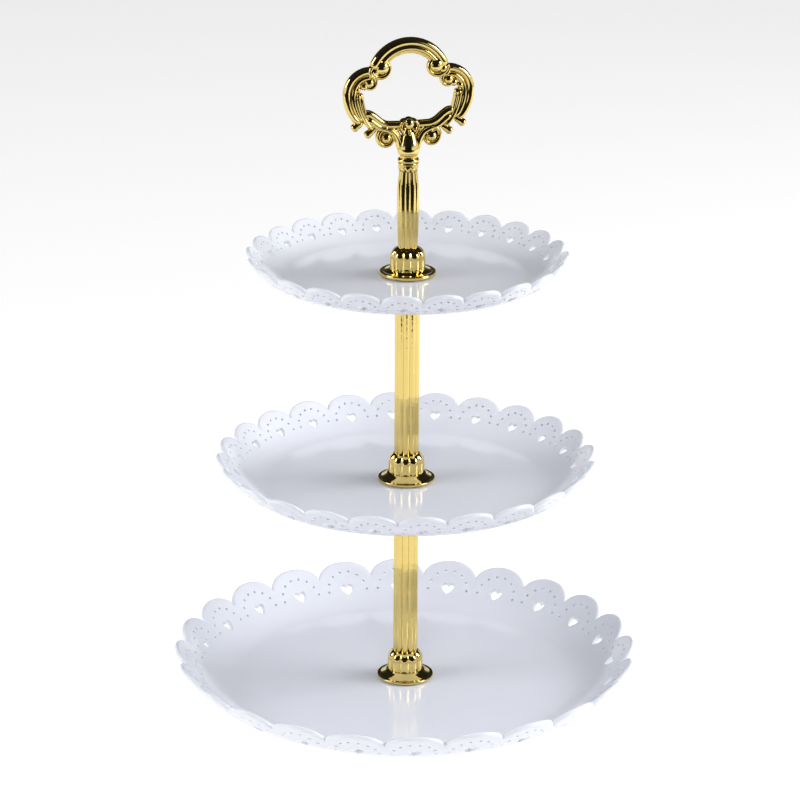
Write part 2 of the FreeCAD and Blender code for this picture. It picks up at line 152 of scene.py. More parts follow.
class NodeMaker:
    """Adds nodes to one node tree."""

    def __init__(self, tree: bpy.types.NodeTree) -> None:
        """Start on a tree.

        Args:
            tree: The tree that gets the nodes.
        """
        self.tree = tree

    def node(self, kind: str, settings: dict[str, object], inputs: dict[str | int, object]) -> bpy.types.Node:
        """Add one node, its settings first and its sockets after.

        Args:
            kind: The node's type.
            settings: Properties by name; "stops" are a ramp's (position, colour) pairs.
            inputs: Values, sockets or signals by socket name or index.

        Returns:
            The new node.
        """
        made = self.tree.nodes.new(kind)
        for name, value in settings.items():
            if name == "stops":
                self._set_stops(made.color_ramp, value)
            else:
                setattr(made, name, value)
        for key, value in inputs.items():
            self.feed(made.inputs[key], value)
        return made

    def feed(self, socket: bpy.types.NodeSocket, value: object) -> None:
        """Link or set one input.

        Args:
            socket: The input.
            value: A signal or socket to link, or a plain value.
        """
        if isinstance(value, Signal):
            self.tree.links.new(value.socket, socket)
        elif isinstance(value, bpy.types.NodeSocket):
            self.tree.links.new(value, socket)
        else:
            socket.default_value = value

    def signal(self, kind: str, settings: dict[str, object], inputs: dict[str | int, object],
               output: str | int = 0) -> Signal:
        """Add a node and wrap one of its outputs.

        Args:
            kind: The node's type.
            settings: As for node().
            inputs: As for node().
            output: Name or index of the output.

        Returns:
            The output as a signal.
        """
        return Signal(self, self.node(kind, settings, inputs).outputs[output])

    @staticmethod
    def _set_stops(ramp: bpy.types.ColorRamp, stops: Sequence[tuple[float, tuple]]) -> None:
        """Set a ramp's stops.

        Args:
            ramp: The ramp.
            stops: (position, RGBA) pairs in order.
        """
        while len(ramp.elements) < len(stops):
            ramp.elements.new(1.0)
        for element, (place, colour) in zip(ramp.elements, stops):
            element.position = place
            element.color = colour


# ---------------------------------------------------------------- finishes
Colour = tuple[float, float, float]


@dataclass(frozen=True)
class Finish:
    """A surface finish whose colour, gloss and relief vary slightly from place to place."""

    name: str
    light: Colour
    dark: Colour
    roughness: float
    roughness_spread: float
    metallic: float = 0.0
    coat: float = 0.0
    grain_scale: float = 60.0
    relief: float = 0.03
    relief_scale: float = 30.0

    def build(self) -> bpy.types.Material:
        """Make the material.

        Returns:
            The new material.
        """
        material = bpy.data.materials.new(self.name)
        material.use_nodes = True
        maker = NodeMaker(material.node_tree)
        shader = material.node_tree.nodes["Principled BSDF"]
        place = maker.node("ShaderNodeTexCoord", {}, {}).outputs["Object"]
        cloud = maker.signal("ShaderNodeTexNoise", {}, {"Vector": place, "Scale": self.grain_scale,
                                                        "Detail": 4.0, "Roughness": 0.6})
        maker.feed(shader.inputs["Base Color"], self._colour(maker, cloud))
        maker.feed(shader.inputs["Roughness"], self._gloss(maker, place, cloud))
        maker.feed(shader.inputs["Normal"], self._normal(maker, place))
        shader.inputs["Metallic"].default_value = self.metallic
        shader.inputs["Coat Weight"].default_value = self.coat
        shader.inputs["Coat Roughness"].default_value = 0.04
        material.diffuse_color = (*self.light, 1.0)
        return material

    def _colour(self, maker: NodeMaker, cloud: Signal) -> Signal:
        """Blend the two colours by the cloud.

        Args:
            maker: Adds the nodes.
            cloud: Noise from 0 to 1.

        Returns:
            The colour.
        """
        return maker.signal("ShaderNodeMix", {"data_type": "RGBA"},
                            {0: cloud, 6: (*self.dark, 1.0), 7: (*self.light, 1.0)}, 2)

    def _gloss(self, maker: NodeMaker, place: bpy.types.NodeSocket, cloud: Signal) -> Signal:
        """Vary the roughness, with wiping marks finer than the cloud.

        Args:
            maker: Adds the nodes.
            place: Object coordinates.
            cloud: Noise from 0 to 1.

        Returns:
            The roughness.
        """
        fine = maker.signal("ShaderNodeTexNoise", {}, {"Vector": place, "Scale": 9 * self.grain_scale,
                                                       "Detail": 2.0})
        return self.roughness + (cloud * 0.7 + fine * 0.3 - 0.5) * (2 * self.roughness_spread)

    def _normal(self, maker: NodeMaker, place: bpy.types.NodeSocket) -> bpy.types.NodeSocket:
        """Give the surface a faint relief.

        Args:
            maker: Adds the nodes.
            place: Object coordinates.

        Returns:
            The normal.
        """
        waves = maker.signal("ShaderNodeTexNoise", {}, {"Vector": place, "Scale": self.relief_scale,
                                                        "Detail": 3.0})
        bump = maker.node("ShaderNodeBump", {}, {"Strength": self.relief, "Distance": MM, "Height": waves})
        return bump.outputs["Normal"]


@dataclass(frozen=True)
class BrushedFinish(Finish):
    """Metal with fine turning marks around the post's axis."""

    mark_scale: float = 2600.0

    def _normal(self, maker: NodeMaker, place: bpy.types.NodeSocket) -> bpy.types.NodeSocket:
        """Give the surface fine rings, as a lathe leaves them.

        Args:
            maker: Adds the nodes.
            place: Object coordinates.

        Returns:
            The normal.
        """
        squeezed = maker.node("ShaderNodeMapping", {}, {"Vector": place, "Scale": (0.05, 0.05, 1.0)})
        marks = maker.signal("ShaderNodeTexNoise", {}, {"Vector": squeezed.outputs[0],
                                                        "Scale": self.mark_scale, "Detail": 1.0})
        bump = maker.node("ShaderNodeBump", {}, {"Strength": self.relief, "Distance": 0.1 * MM, "Height": marks})
        return bump.outputs["Normal"]


GLOSSY_WHITE = Finish("glossy white plastic", (0.80, 0.82, 0.885), (0.77, 0.79, 0.86), 0.12, 0.04,
                      coat=0.15, grain_scale=22.0, relief=0.05, relief_scale=38.0)
BRIGHT_GOLD = Finish("bright gold plating", (0.82, 0.65, 0.245), (0.75, 0.565, 0.18), 0.07, 0.04,
                     metallic=1.0, grain_scale=120.0, relief=0.05, relief_scale=260.0)
TURNED_BRASS = BrushedFinish("turned brass", (0.80, 0.60, 0.27), (0.66, 0.47, 0.19), 0.28, 0.08,
                             metallic=1.0, relief=0.25)
ZINC_STEEL = BrushedFinish("zinc plated steel", (0.66, 0.68, 0.70), (0.50, 0.52, 0.55), 0.27, 0.09,
                           metallic=1.0, grain_scale=300.0, relief=0.22)
SOFT_RUBBER = Finish("pale rubber", (0.78, 0.78, 0.76), (0.70, 0.70, 0.68), 0.62, 0.10,
                     grain_scale=240.0, relief=0.20, relief_scale=900.0)


# ---------------------------------------------------------------- meshes
class Draft:
    """The points and faces of one piece while it is being made."""

    def __init__(self) -> None:
        """Start empty."""
        self.points: list[np.ndarray] = []
        self.faces: list[tuple[int, ...]] = []
        self.count = 0

    def add(self, points: np.ndarray, faces: Iterable[Sequence[int]]) -> None:
        """Add points and faces that count from those points.

        Args:
            points: One row for each point.
            faces: Corner numbers of each face.
        """
        rows = np.asarray(points, float).reshape(-1, 3)
        self.points.append(rows)
        self.faces += [tuple(self.count + int(i) for i in face) for face in faces]
        self.count += len(rows)

    def grid(self, points: np.ndarray, wrap_rows: bool = False, wrap_columns: bool = False) -> None:
        """Skin a grid of points with quads.

        Args:
            points: An array of rows, columns and coordinates.
            wrap_rows: Join the last row to the first.
            wrap_columns: Join the last column to the first.
        """
        rows, columns = points.shape[:2]
        number = np.arange(rows * columns).reshape(rows, columns)
        if wrap_rows:
            number = np.vstack([number, number[:1]])
        if wrap_columns:
            number = np.hstack([number, number[:, :1]])
        corners = np.stack([number[:-1, :-1], number[:-1, 1:], number[1:, 1:], number[1:, :-1]], axis=-1)
        self.add(points.reshape(-1, 3), corners.reshape(-1, 4))

    def mesh(self, name: str) -> bpy.types.Mesh:
        """Turn the draft into a mesh in metres.

        Args:
            name: The mesh's name.

        Returns:
            The new mesh.
        """
        made = bpy.data.meshes.new(name)
        made.from_pydata(np.vstack(self.points) * MM, [], self.faces)
        return made


def seal(mesh: bpy.types.Mesh, weld: float = 0.004, sharp_deg: float = 50.0) -> None:
    """Weld a mesh's seams, turn its faces outwards and shade it smooth.

    Args:
        mesh: The mesh.
        weld: Points nearer than this, in millimetres, become one.
        sharp_deg: Edges sharper than this stay sharp.
    """
    work = bmesh.new()
    work.from_mesh(mesh)
    bmesh.ops.remove_doubles(work, verts=work.verts, dist=weld * MM)
    bmesh.ops.dissolve_degenerate(work, edges=work.edges, dist=0.1 * weld * MM)
    bmesh.ops.recalc_face_normals(work, faces=work.faces)
    work.to_mesh(mesh)
    work.free()
    mesh.shade_smooth()
    mesh.set_sharp_from_angle(angle=math.radians(sharp_deg))


def show(mesh: bpy.types.Mesh, name: str, material: bpy.types.Material) -> bpy.types.Object:
    """Put a finished mesh in the scene.

    Args:
        mesh: The mesh, already in place.
        name: The object's name.
        material: Its finish.

    Returns:
        The new object.
    """
    mesh.materials.clear()
    mesh.materials.append(material)
    made = bpy.data.objects.new(name, mesh)
    bpy.context.scene.collection.objects.link(made)
    return made


class RoundPattern:
    """A Geometry Nodes tree that repeats a wedge around the post's axis and welds the copies."""

    WELD = 0.004 * MM

    def __init__(self) -> None:
        """Build the tree once for every piece that uses it."""
        self.tree = bpy.data.node_groups.new("Round pattern", "GeometryNodeTree")
        self.sockets = {
            "wedge": self._input("Wedge", "NodeSocketGeometry"),
            "count": self._input("Count", "NodeSocketInt"),
            "weld": self._input("Weld Distance", "NodeSocketFloat"),
            "finish": self._input("Finish", "NodeSocketMaterial"),
        }
        self.tree.interface.new_socket("Ring", in_out="OUTPUT", socket_type="NodeSocketGeometry")
        maker = NodeMaker(self.tree)
        given = maker.node("NodeGroupInput", {}, {})
        spots = maker.node("GeometryNodeMeshLine", {}, {"Count": given.outputs["Count"],
                                                        "Offset": (0.0, 0.0, 0.0)})
        index = maker.signal("GeometryNodeInputIndex", {}, {})
        turn = index * TAU / Signal(maker, given.outputs["Count"])
        angles = maker.node("ShaderNodeCombineXYZ", {}, {"Z": turn})
        copies = maker.node("GeometryNodeInstanceOnPoints", {}, {
            "Points": spots.outputs[0], "Instance": given.outputs["Wedge"], "Rotation": angles.outputs[0]})
        real = maker.node("GeometryNodeRealizeInstances", {}, {0: copies.outputs[0]})
        welded = maker.node("GeometryNodeMergeByDistance", {}, {"Geometry": real.outputs[0],
                                                                "Distance": given.outputs["Weld Distance"]})
        dressed = maker.node("GeometryNodeSetMaterial", {}, {"Geometry": welded.outputs[0],
                                                             "Material": given.outputs["Finish"]})
        maker.node("NodeGroupOutput", {}, {0: dressed.outputs[0]})

    def _input(self, name: str, kind: str) -> str:
        """Add one named input.

        Args:
            name: The input's name.
            kind: Its socket type.

        Returns:
            The socket's identifier.
        """
        return self.tree.interface.new_socket(name, in_out="INPUT", socket_type=kind).identifier

    def repeat(self, wedge: Draft, count: int, name: str, material: bpy.types.Material) -> bpy.types.Object:
        """Repeat a wedge and return the whole piece as a plain mesh object.

        Args:
            wedge: One sector of the piece, centred on +X.
            count: How many sectors make the round.
            name: The object's name.
            material: Its finish.

        Returns:
            The finished object.
        """
        made = show(wedge.mesh(name), name, material)
        pattern = made.modifiers.new("Round pattern", "NODES")
        pattern.node_group = self.tree
        pattern[self.sockets["count"]] = count
        pattern[self.sockets["weld"]] = self.WELD
        pattern[self.sockets["finish"]] = material
        whole = bpy.data.meshes.new_from_object(made.evaluated_get(bpy.context.evaluated_depsgraph_get()))
        made.modifiers.remove(pattern)
        made.data = whole
        whole.name = name
        seal(whole)
        return made


Row = tuple[float, float, float, float]


def wedge_of_rows(rows: Sequence[Row], count: int, columns: int = 8, closed: bool = False) -> Draft:
    """One lobe of a reeded piece.

    Args:
        rows: Radius, height, depth of the groove beside the lobe, and how far the row sinks there.
        count: How many lobes go round.
        columns: Divisions across a lobe.
        closed: Join the last row to the first, for a piece with a bore.

    Returns:
        The wedge, centred on +X.
    """
    across = np.linspace(-1.0, 1.0, columns + 1)
    data = np.array(rows, float)
    radius = data[:, 0:1] - data[:, 2:3] * across ** 2
    height = data[:, 1:2] - data[:, 3:4] * across ** 2
    angle = across * math.pi / count
    draft = Draft()
    draft.grid(np.stack([radius * np.cos(angle), radius * np.sin(angle),
                         np.broadcast_to(height, radius.shape)], axis=-1), wrap_rows=closed)
    return draft


def arc_points(centre: tuple[float, float], radius: float, start_deg: float, end_deg: float,
               steps: int) -> list[tuple[float, float]]:
    """Points along an arc.

    Args:
        centre: The arc's centre.
        radius: Its radius.
        start_deg: Angle of the first point, from the first axis.
        end_deg: Angle of the last point.
        steps: Divisions between them.

    Returns:
        The points, both ends included.
    """
    angles = np.radians(np.linspace(start_deg, end_deg, steps + 1))
    return [(centre[0] + radius * math.cos(a), centre[1] + radius * math.sin(a)) for a in angles]


# ---------------------------------------------------------------- dishes
@dataclass
class PetalDish:
    """One scalloped dish: 24 petals, each pierced by a heart and an arc of dots."""

    node: str
    body: str
    floor: float
    rim_radius: float
    wall: float
    foot_share: float
    foot_height: float
    dot_radius: float
    tip_deg: float
    petals: int = 24
    dots: int = 8
    dot_arc_deg: float = 183.0
    rim_height_share: float = 0.1625
    petal_depth_share: float = 0.071
    bend_share: float = 0.262
    drop_share: float = 0.1423
    dot_circle_share: float = 0.09
    heart_share: float = 0.0565
    slope_deg: float = 48.5
    edge_round: float = 0.22
    spacing: float = 2.1

    def __post_init__(self) -> None:
        """Work out the section once."""
        rim = self.rim_radius
        self.slope = math.radians(self.slope_deg)
        self.half_step = math.pi / self.petals
        self.rim_height = self.rim_height_share * rim
        self.petal_depth = self.petal_depth_share * rim
        self.bend = self.bend_share * rim
        self.drop = self.drop_share * rim
        self.tip = rim - self.wall * math.sin(self.slope)
        bend_top = self.bend * (1 - math.cos(self.slope))
        self.bend_end = self.tip - (self.rim_height - bend_top) / math.tan(self.slope)
        self.floor_radius = self.bend_end - self.bend * math.sin(self.slope)
        self.straight = (self.tip - self.bend_end) / math.cos(self.slope)
        self.pattern_end = self.drop + 0.052 * rim

    def section(self, run: np.ndarray, depth: float | np.ndarray) -> tuple[np.ndarray, np.ndarray]:
        """Follow the dish's section.

        Args:
            run: Distances down the upper face from the tips' circle.
            depth: How far below the upper face, square to it.

        Returns:
            The radii and the heights above the floor.
        """
        run = np.asarray(run, float)
        angle = np.clip(self.slope - (run - self.straight) / self.bend, 0.0, self.slope)
        flat = np.maximum(run - self.straight - self.bend * self.slope, 0.0)
        rise = np.minimum(run, self.straight)
        on_slope = run <= self.straight
        radius = np.where(on_slope, self.tip - rise * math.cos(self.slope),
                          self.floor_radius + self.bend * np.sin(angle) - flat)
        height = np.where(on_slope, self.rim_height - rise * math.sin(self.slope),
                          self.bend * (1 - np.cos(angle)))
        return radius + depth * np.sin(angle), height - depth * np.cos(angle)

    def place(self, flat: np.ndarray, depth: float | np.ndarray) -> np.ndarray:
        """Lay flat points on the dish.

        Args:
            flat: Distance across a petal and run down it, one row for each point.
            depth: How far below the upper face.

        Returns:
            The points in space.
        """
        middle, _ = self.section(flat[:, 1], 0.0)
        angle = flat[:, 0] / middle
        radius, height = self.section(flat[:, 1], depth)
        return np.stack([radius * np.cos(angle), radius * np.sin(angle), self.floor + height], axis=-1)

    def petal_run(self, angle: np.ndarray) -> np.ndarray:
        """How far below the tips' circle a petal's edge lies.

        Args:
            angle: Angles from the petal's middle.

        Returns:
            The runs.
        """
        flare = math.tan(self.slope)
        valley = self.tip - self.petal_depth * math.cos(self.slope)
        valley_height = self.rim_height - self.petal_depth * math.sin(self.slope)
        run = np.full_like(angle, 0.5 * self.petal_depth)
        for _ in range(12):
            height = self.rim_height - run * math.sin(self.slope)
            low = valley + (valley_height - height) * flare
            high = self.tip + (self.rim_height - height) * flare
            centre = (high ** 2 - low ** 2) / (2 * (high - low * math.cos(self.half_step)))
            round_ = high - centre
            inside = np.maximum(round_ ** 2 - (centre * np.sin(angle)) ** 2, 0.0)
            edge = centre * np.cos(angle) + np.sqrt(inside)
            run = run + (self.tip - run * math.cos(self.slope) - edge) * math.cos(self.slope)
        return run

    def rim_frames(self) -> tuple[np.ndarray, np.ndarray]:
        """The petal's edge and the direction into the petal at each of its points.

        Returns:
            Edge points and unit directions, both flat, from one valley to the next.
        """
        share = np.sin(0.5 * math.pi * np.linspace(-1.0, 1.0, 45))
        angle = share * self.half_step
        run = self.petal_run(angle)
        radius, _ = self.section(run, 0.0)
        edge = np.stack([radius * angle, run], axis=-1)
        along = np.gradient(edge, axis=0)
        inward = np.stack([-along[:, 1], along[:, 0]], axis=-1)
        inward /= np.linalg.norm(inward, axis=1, keepdims=True)
        down = np.array([-self.half_step * math.cos(self.slope), 1.0])
        down /= np.linalg.norm(down)
        left_start = math.atan2(down[1], -down[0])
        left_end = math.atan2(inward[0][1], inward[0][0])
        fan = np.linspace(left_start, left_end, 8)[:-1]
        left = np.stack([np.cos(fan), np.sin(fan)], axis=-1)
        right = left[::-1] * np.array([-1.0, 1.0])
        edges = np.vstack([np.repeat(edge[:1], 7, axis=0), edge, np.repeat(edge[-1:], 7, axis=0)])
        return edges, np.vstack([left, inward, right])

    def heart_outline(self, grow: float) -> np.ndarray:
        """The heart, grown outwards all round.

        Args:
            grow: How far to grow it.

        Returns:
            Flat points, one for each of a fixed set of directions.
        """
        width = self.heart_share * self.rim_radius
        lobe, side = width / 4, 0.93 * width
        upper = arc_points((side / 4, lobe), lobe, -90, 90, 18)
        flank = [np.array([side / 4, 2 * lobe]), np.array([-side / 8, 0.45 * width]),
                 np.array([-side / 2, 0.0])]
        bend = [tuple((1 - t) ** 2 * flank[0] + 2 * t * (1 - t) * (flank[1] * 1.04) + t ** 2 * flank[2])
                for t in np.linspace(0, 1, 16)]
        half = np.array(upper + bend[1:])
        outline = np.vstack([half, half[::-1] * np.array([1.0, -1.0])])
        dense = np.vstack([outline[:-1] + (outline[1:] - outline[:-1]) * t for t in (0.0, 0.34, 0.67)])
        grow = max(grow, 0.06)
        ways = np.linspace(0.0, TAU, 45)[:-1]
        reach = []
        for way in ways:
            unit = np.array([math.cos(way), math.sin(way)])
            along = dense @ unit
            off = dense @ np.array([-unit[1], unit[0]])
            room = grow ** 2 - off ** 2
            ok = room > 0
            reach.append(float(np.max(along[ok] + np.sqrt(room[ok]))) if ok.any() else 0.0)
        reach = self._fill_gaps(np.array(reach))
        return np.stack([reach * np.sin(ways), self.drop - reach * np.cos(ways)], axis=-1)

    @staticmethod
    def _fill_gaps(reach: np.ndarray) -> np.ndarray:
        """Bridge directions that met no outline point.

        Args:
            reach: Reach in each direction, zero where none was met.

        Returns:
            The reach with its gaps filled from both sides.
        """
        index = np.arange(len(reach))
        good = reach > 0.1
        return np.interp(index, index[good], reach[good], period=len(reach))

    def dot_outline(self, number: int, grow: float) -> np.ndarray:
        """One dot's outline.

        Args:
            number: Which dot, from 0.
            grow: How far to grow it.

        Returns:
            Flat points around it.
        """
        circle = self.dot_circle_share * self.rim_radius
        around = math.radians(self.dot_arc_deg * (number / (self.dots - 1) - 0.5))
        ways = np.linspace(0.0, TAU, 13)[:-1]
        radius = self.dot_radius + grow
        return np.stack([circle * math.sin(around) + radius * np.cos(ways),
                         self.drop - circle * math.cos(around) + radius * np.sin(ways)], axis=-1)

    def build_wedge(self) -> Draft:
        """Make one petal's sector, from its edge to the hub.

        Returns:
            The sector, centred on +X.
        """
        draft = Draft()
        edges, inward = self.rim_frames()
        half = self.wall / 2
        rim = []
        for way in np.linspace(0.0, math.pi, 9):
            flat = edges + inward * half * (1 - math.sin(way))
            rim.append(self.place(flat, half * (1 - math.cos(way))))
        draft.grid(np.array(rim))
        self._pierced_faces(draft, edges + inward * half)
        self._turned_part(draft)
        return draft

    def _pierced_faces(self, draft: Draft, inset: np.ndarray) -> None:
        """Add the upper and lower faces around the holes, and the holes' walls.

        Args:
            draft: Gets the faces.
            inset: Flat points where the rounded rim begins.
        """
        outlines: list[Callable[[float], np.ndarray]] = [self.heart_outline]
        outlines += [lambda grow, n=n: self.dot_outline(n, grow) for n in range(self.dots)]
        soft = self.edge_round
        for outline in outlines:
            rings = [(2.2 * soft, 0.0), (soft, 0.0), (0.3 * soft, 0.3 * soft), (0.0, soft),
                     (0.0, self.wall - soft), (0.3 * soft, self.wall - 0.3 * soft), (soft, self.wall),
                     (2.2 * soft, self.wall)]
            draft.grid(np.array([self.place(outline(grow), depth) for grow, depth in rings]),
                       wrap_columns=True)
        holes = [outline(2.2 * soft) for outline in outlines]
        flat, triangles = self._triangulate(inset, holes)
        for depth in (0.0, self.wall):
            draft.add(self.place(flat, depth), triangles)

    def _side_points(self) -> np.ndarray:
        """Flat points down the sector's right side, below the rim and above the turned part.

        Returns:
            The points, top to bottom, the last one at the pattern's end.
        """
        start = self.petal_depth + 0.5 * self.wall
        runs = np.linspace(start, self.pattern_end, 10)[1:]
        radius, _ = self.section(runs, 0.0)
        return np.stack([radius * self.half_step, runs], axis=-1)

    def _triangulate(self, inset: np.ndarray, holes: list[np.ndarray]) -> tuple[np.ndarray, np.ndarray]:
        """Fill the flat petal around its holes with even triangles.

        Args:
            inset: The petal's upper boundary, left to right.
            holes: Outlines of the holes.

        Returns:
            Flat points and the triangles between them.
        """
        right = self._side_points()
        left = right[::-1] * np.array([-1.0, 1.0])
        end, _ = self.section(np.array([self.pattern_end]), 0.0)
        across = np.linspace(self.half_step, -self.half_step, SECTOR_COLUMNS + 1)[1:-1] * end[0]
        bottom = np.stack([across, np.full_like(across, self.pattern_end)], axis=-1)
        boundary = np.vstack([inset, right, bottom, left])
        loops = [boundary] + holes
        inner = self._inner_points(loops)
        flat = np.vstack(loops + [inner])
        edges, start = [], 0
        for loop in loops:
            count = len(loop)
            edges += [(start + i, start + (i + 1) % count) for i in range(count)]
            start += count
        found = delaunay_2d_cdt([Vector(p) for p in flat], edges, [], 0, 1e-7)
        points = np.array([(v[0], v[1]) for v in found[0]])
        triangles = np.array([face for face in found[2]])
        centres = points[triangles].mean(axis=1)
        keep = inside(centres, boundary)
        for hole in holes:
            keep &= ~inside(centres, hole)
        return points, triangles[keep]

    def _inner_points(self, loops: list[np.ndarray]) -> np.ndarray:
        """Scatter even points inside the petal, clear of every outline.

        Args:
            loops: The boundary first, then the holes.

        Returns:
            Flat points.
        """
        step = self.spacing * self.rim_radius / 130.0
        rows = []
        for number, run in enumerate(np.arange(0.5 * step, self.pattern_end, 0.87 * step)):
            shift = 0.5 * step * (number % 2)
            rows.append([(x + shift, run) for x in np.arange(-20.0 * step, 20.0 * step, step)])
        points = np.array([p for row in rows for p in row])
        keep = inside(points, loops[0])
        for loop in loops[1:]:
            keep &= ~inside(points, loop)
        points = points[keep]
        every = np.vstack(loops)
        gap = np.sqrt(((points[:, None, :] - every[None, :, :]) ** 2).sum(axis=2)).min(axis=1)
        return points[gap > 0.42 * step]

    def _turned_part(self, draft: Draft) -> None:
        """Add the bend, the floor, the hub's hole and the underside with its foot ring.

        Args:
            draft: Gets the faces.
        """
        bend_stop = self.straight + self.bend * self.slope
        runs = np.concatenate([np.linspace(self.pattern_end, bend_stop, 9),
                               np.linspace(bend_stop, bend_stop + self.floor_radius - HUB_RADIUS - 0.3, 14)[1:]])
        radius, height = self.section(runs, 0.0)
        rows = list(zip(radius, height))
        rows += [(HUB_RADIUS + 0.09, -0.09), (HUB_RADIUS, -0.3), (HUB_RADIUS, 0.3 - self.wall),
                 (HUB_RADIUS + 0.09, 0.09 - self.wall), (HUB_RADIUS + 0.3, -self.wall)]
        rows += self._foot_ring()
        under, drop = self.section(runs[:9][::-1], self.wall)
        rows += list(zip(under, drop))
        table = [(r, self.floor + z, 0.0, 0.0) for r, z in rows]
        part = wedge_of_rows(table, self.petals, SECTOR_COLUMNS)
        draft.add(np.vstack(part.points), part.faces)

    def _foot_ring(self) -> list[tuple[float, float]]:
        """Section of the ring that the dish stands on, from its inner side to its outer.

        Returns:
            Radius and height pairs.
        """
        middle, width = self.foot_share * self.rim_radius, 3.0
        inner, outer = middle - width / 2, middle + width / 2
        top, base, soft = -self.wall, -self.wall - self.foot_height, 0.6
        rows = [(inner * share, top) for share in (0.2, 0.45, 0.7, 0.9)]
        rows += [(inner - soft, top)] + arc_points((inner - soft, top - soft), soft, 90, 0, 3)[1:]
        rows += arc_points((inner + soft, base + soft), soft, 180, 270, 3)
        rows += arc_points((outer - soft, base + soft), soft, 270, 360, 3)
        rows += arc_points((outer + soft, top - soft), soft, 180, 90, 3)
        return rows

    def build(self, pattern: RoundPattern, material: bpy.types.Material) -> bpy.types.Object:
        """Make the dish, turn it to its place and put it on its body.

        Args:
            pattern: Repeats the sector.
            material: The dish's finish.

        Returns:
            The dish.
        """
        wedge = self.build_wedge()
        turn = math.radians(self.tip_deg)
        spin = np.array([[math.cos(turn), math.sin(turn), 0], [-math.sin(turn), math.cos(turn), 0], [0, 0, 1]])
        wedge.points = [points @ spin for points in wedge.points]
        dish = pattern.repeat(wedge, self.petals, "dish_" + self.node, material)
        finish_piece(dish, self.body, "plate", self.node)
        return dish


def inside(points: np.ndarray, loop: np.ndarray) -> np.ndarray:
    """Say which flat points lie inside a closed outline.

    Args:
        points: Flat points.
        loop: Corners of the outline.

    Returns:
        One flag for each point.
    """
    found = np.zeros(len(points), bool)
    x, y = points[:, 0], points[:, 1]
    for (x0, y0), (x1, y1) in zip(loop, np.roll(loop, -1, axis=0)):
        if y0 == y1:
            continue
        crosses = (y0 > y) != (y1 > y)
        found ^= crosses & (x < (x1 - x0) * (y - y0) / (y1 - y0) + x0)
    return found


def finish_piece(piece: bpy.types.Object, body: str, slot: str, *nodes: str) -> None:
    """Put a finished piece on the body that it rides on, hide the nodes that it stands for, and report it.

    Args:
        piece: The object.
        body: The body that it moves with.
        slot: Not used.
        nodes: The nodes that it replaces.
    """
    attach(piece, body)
    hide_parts(*nodes)
    LOG.info("%s: %d faces, rides on %s", piece.name, len(piece.data.polygons), body)


# ---------------------------------------------------------------- reeded and turned pieces
@dataclass
class ReededFoot:
    """A cast foot: a domed flange, a drum of lobes with arched tops, and a socket for its insert."""

    node: str
    body: str
    base: float
    flange_radius: float
    rim_height: float
    dome_height: float
    drum_radius: float
    neck_radius: float
    spigot_radius: float = 0.0
    drum_height: float = 11.2
    height: float = FOOT_HEIGHT
    lobe_depth: float = 1.15
    arch: float = 1.5
    bore: float = 5.0
    bore_length: float = 11.0
    spigot_length: float = 8.0

    def rows(self) -> list[Row]:
        """The foot's section, from the top of its bore, round the outside, to its axis.

        Returns:
            Rows for wedge_of_rows.
        """
        edge, rim, dome, drum = self.flange_radius, self.rim_height, self.dome_height, self.drum_radius
        soft = 0.35 * rim
        rows: list[Row] = [(0.0, self.bore_length, 0.0, 0.0), (self.bore, self.bore_length, 0.0, 0.0),
                           (self.bore, 0.3, 0.0, 0.0), (self.bore + 0.3, 0.0, 0.0, 0.0)]
        rows += [(r, z, 0.0, 0.0) for r, z in arc_points((edge - soft, soft), soft, -90, 0, 4)]
        rows += [(r, z, 0.0, 0.0) for r, z in arc_points((edge - soft, rim - soft), soft, 0, 75, 4)]
        rows += [(edge - 2.4 * soft, rim + 0.02, 0.0, 0.0)]
        rows += self._dome(edge - 2.9 * soft, drum + 0.35)
        skirt = dome + 0.45
        rows += [(drum - 0.15, dome + 0.1, 0.55 * self.lobe_depth, 0.0), (drum, skirt, self.lobe_depth, -0.1),
                 (drum, 0.5 * (skirt + self.drum_height), self.lobe_depth, 0.1 * self.arch),
                 (drum, self.drum_height - 1.3, self.lobe_depth, 0.6 * self.arch)]
        rows += self._shoulder()
        rows += self._top()
        return [(r, self.base + z, d, s) for r, z, d, s in rows]

    def _dome(self, start: float, end: float) -> list[Row]:
        """The flange's rising upper face, slightly hollow as cast.

        Args:
            start: Radius beside the rim.
            end: Radius beside the drum.

        Returns:
            The rows.
        """
        rows = []
        for share in np.linspace(0.0, 1.0, 7):
            rise = share ** 1.35
            rows.append((start + (end - start) * share,
                         self.rim_height - 0.1 + (self.dome_height - self.rim_height + 0.1) * rise, 0.0, 0.0))
        return rows

    def _shoulder(self) -> list[Row]:
        """The lobes' rounded tops, drawn in to the neck.

        Returns:
            The rows.
        """
        rows = []
        width, tall = self.drum_radius - self.neck_radius, self.height - self.drum_height
        for share in np.linspace(0.0, 1.0, 9):
            turn = 0.5 * math.pi * share
            rows.append((self.neck_radius + width * math.cos(turn) ** 0.9,
                         self.drum_height + tall * (0.6 * share + 0.4 * math.sin(turn)),
                         self.lobe_depth * (1 - 0.85 * share), self.arch * (0.75 - 0.75 * share)))
        return rows

    def _top(self) -> list[Row]:
        """The seat for the piece above, with a spigot if there is one.

        Returns:
            The rows.
        """
        if not self.spigot_length or not self.spigot_radius:
            return [(0.0, self.height, 0.0, 0.0)]
        end = self.height + self.spigot_length
        return [(self.spigot_radius, self.height, 0.0, 0.0), (self.spigot_radius, end - 0.4, 0.0, 0.0),
                (self.spigot_radius - 0.4, end, 0.0, 0.0), (0.0, end, 0.0, 0.0)]

    def build(self, pattern: RoundPattern, material: bpy.types.Material) -> None:
        """Make the foot.

        Args:
            pattern: Repeats one lobe.
            material: The foot's finish.
        """
        piece = pattern.repeat(wedge_of_rows(self.rows(), REEDS, 12), REEDS, "cast_" + self.node, material)
        finish_piece(piece, self.body, "gold", self.node)


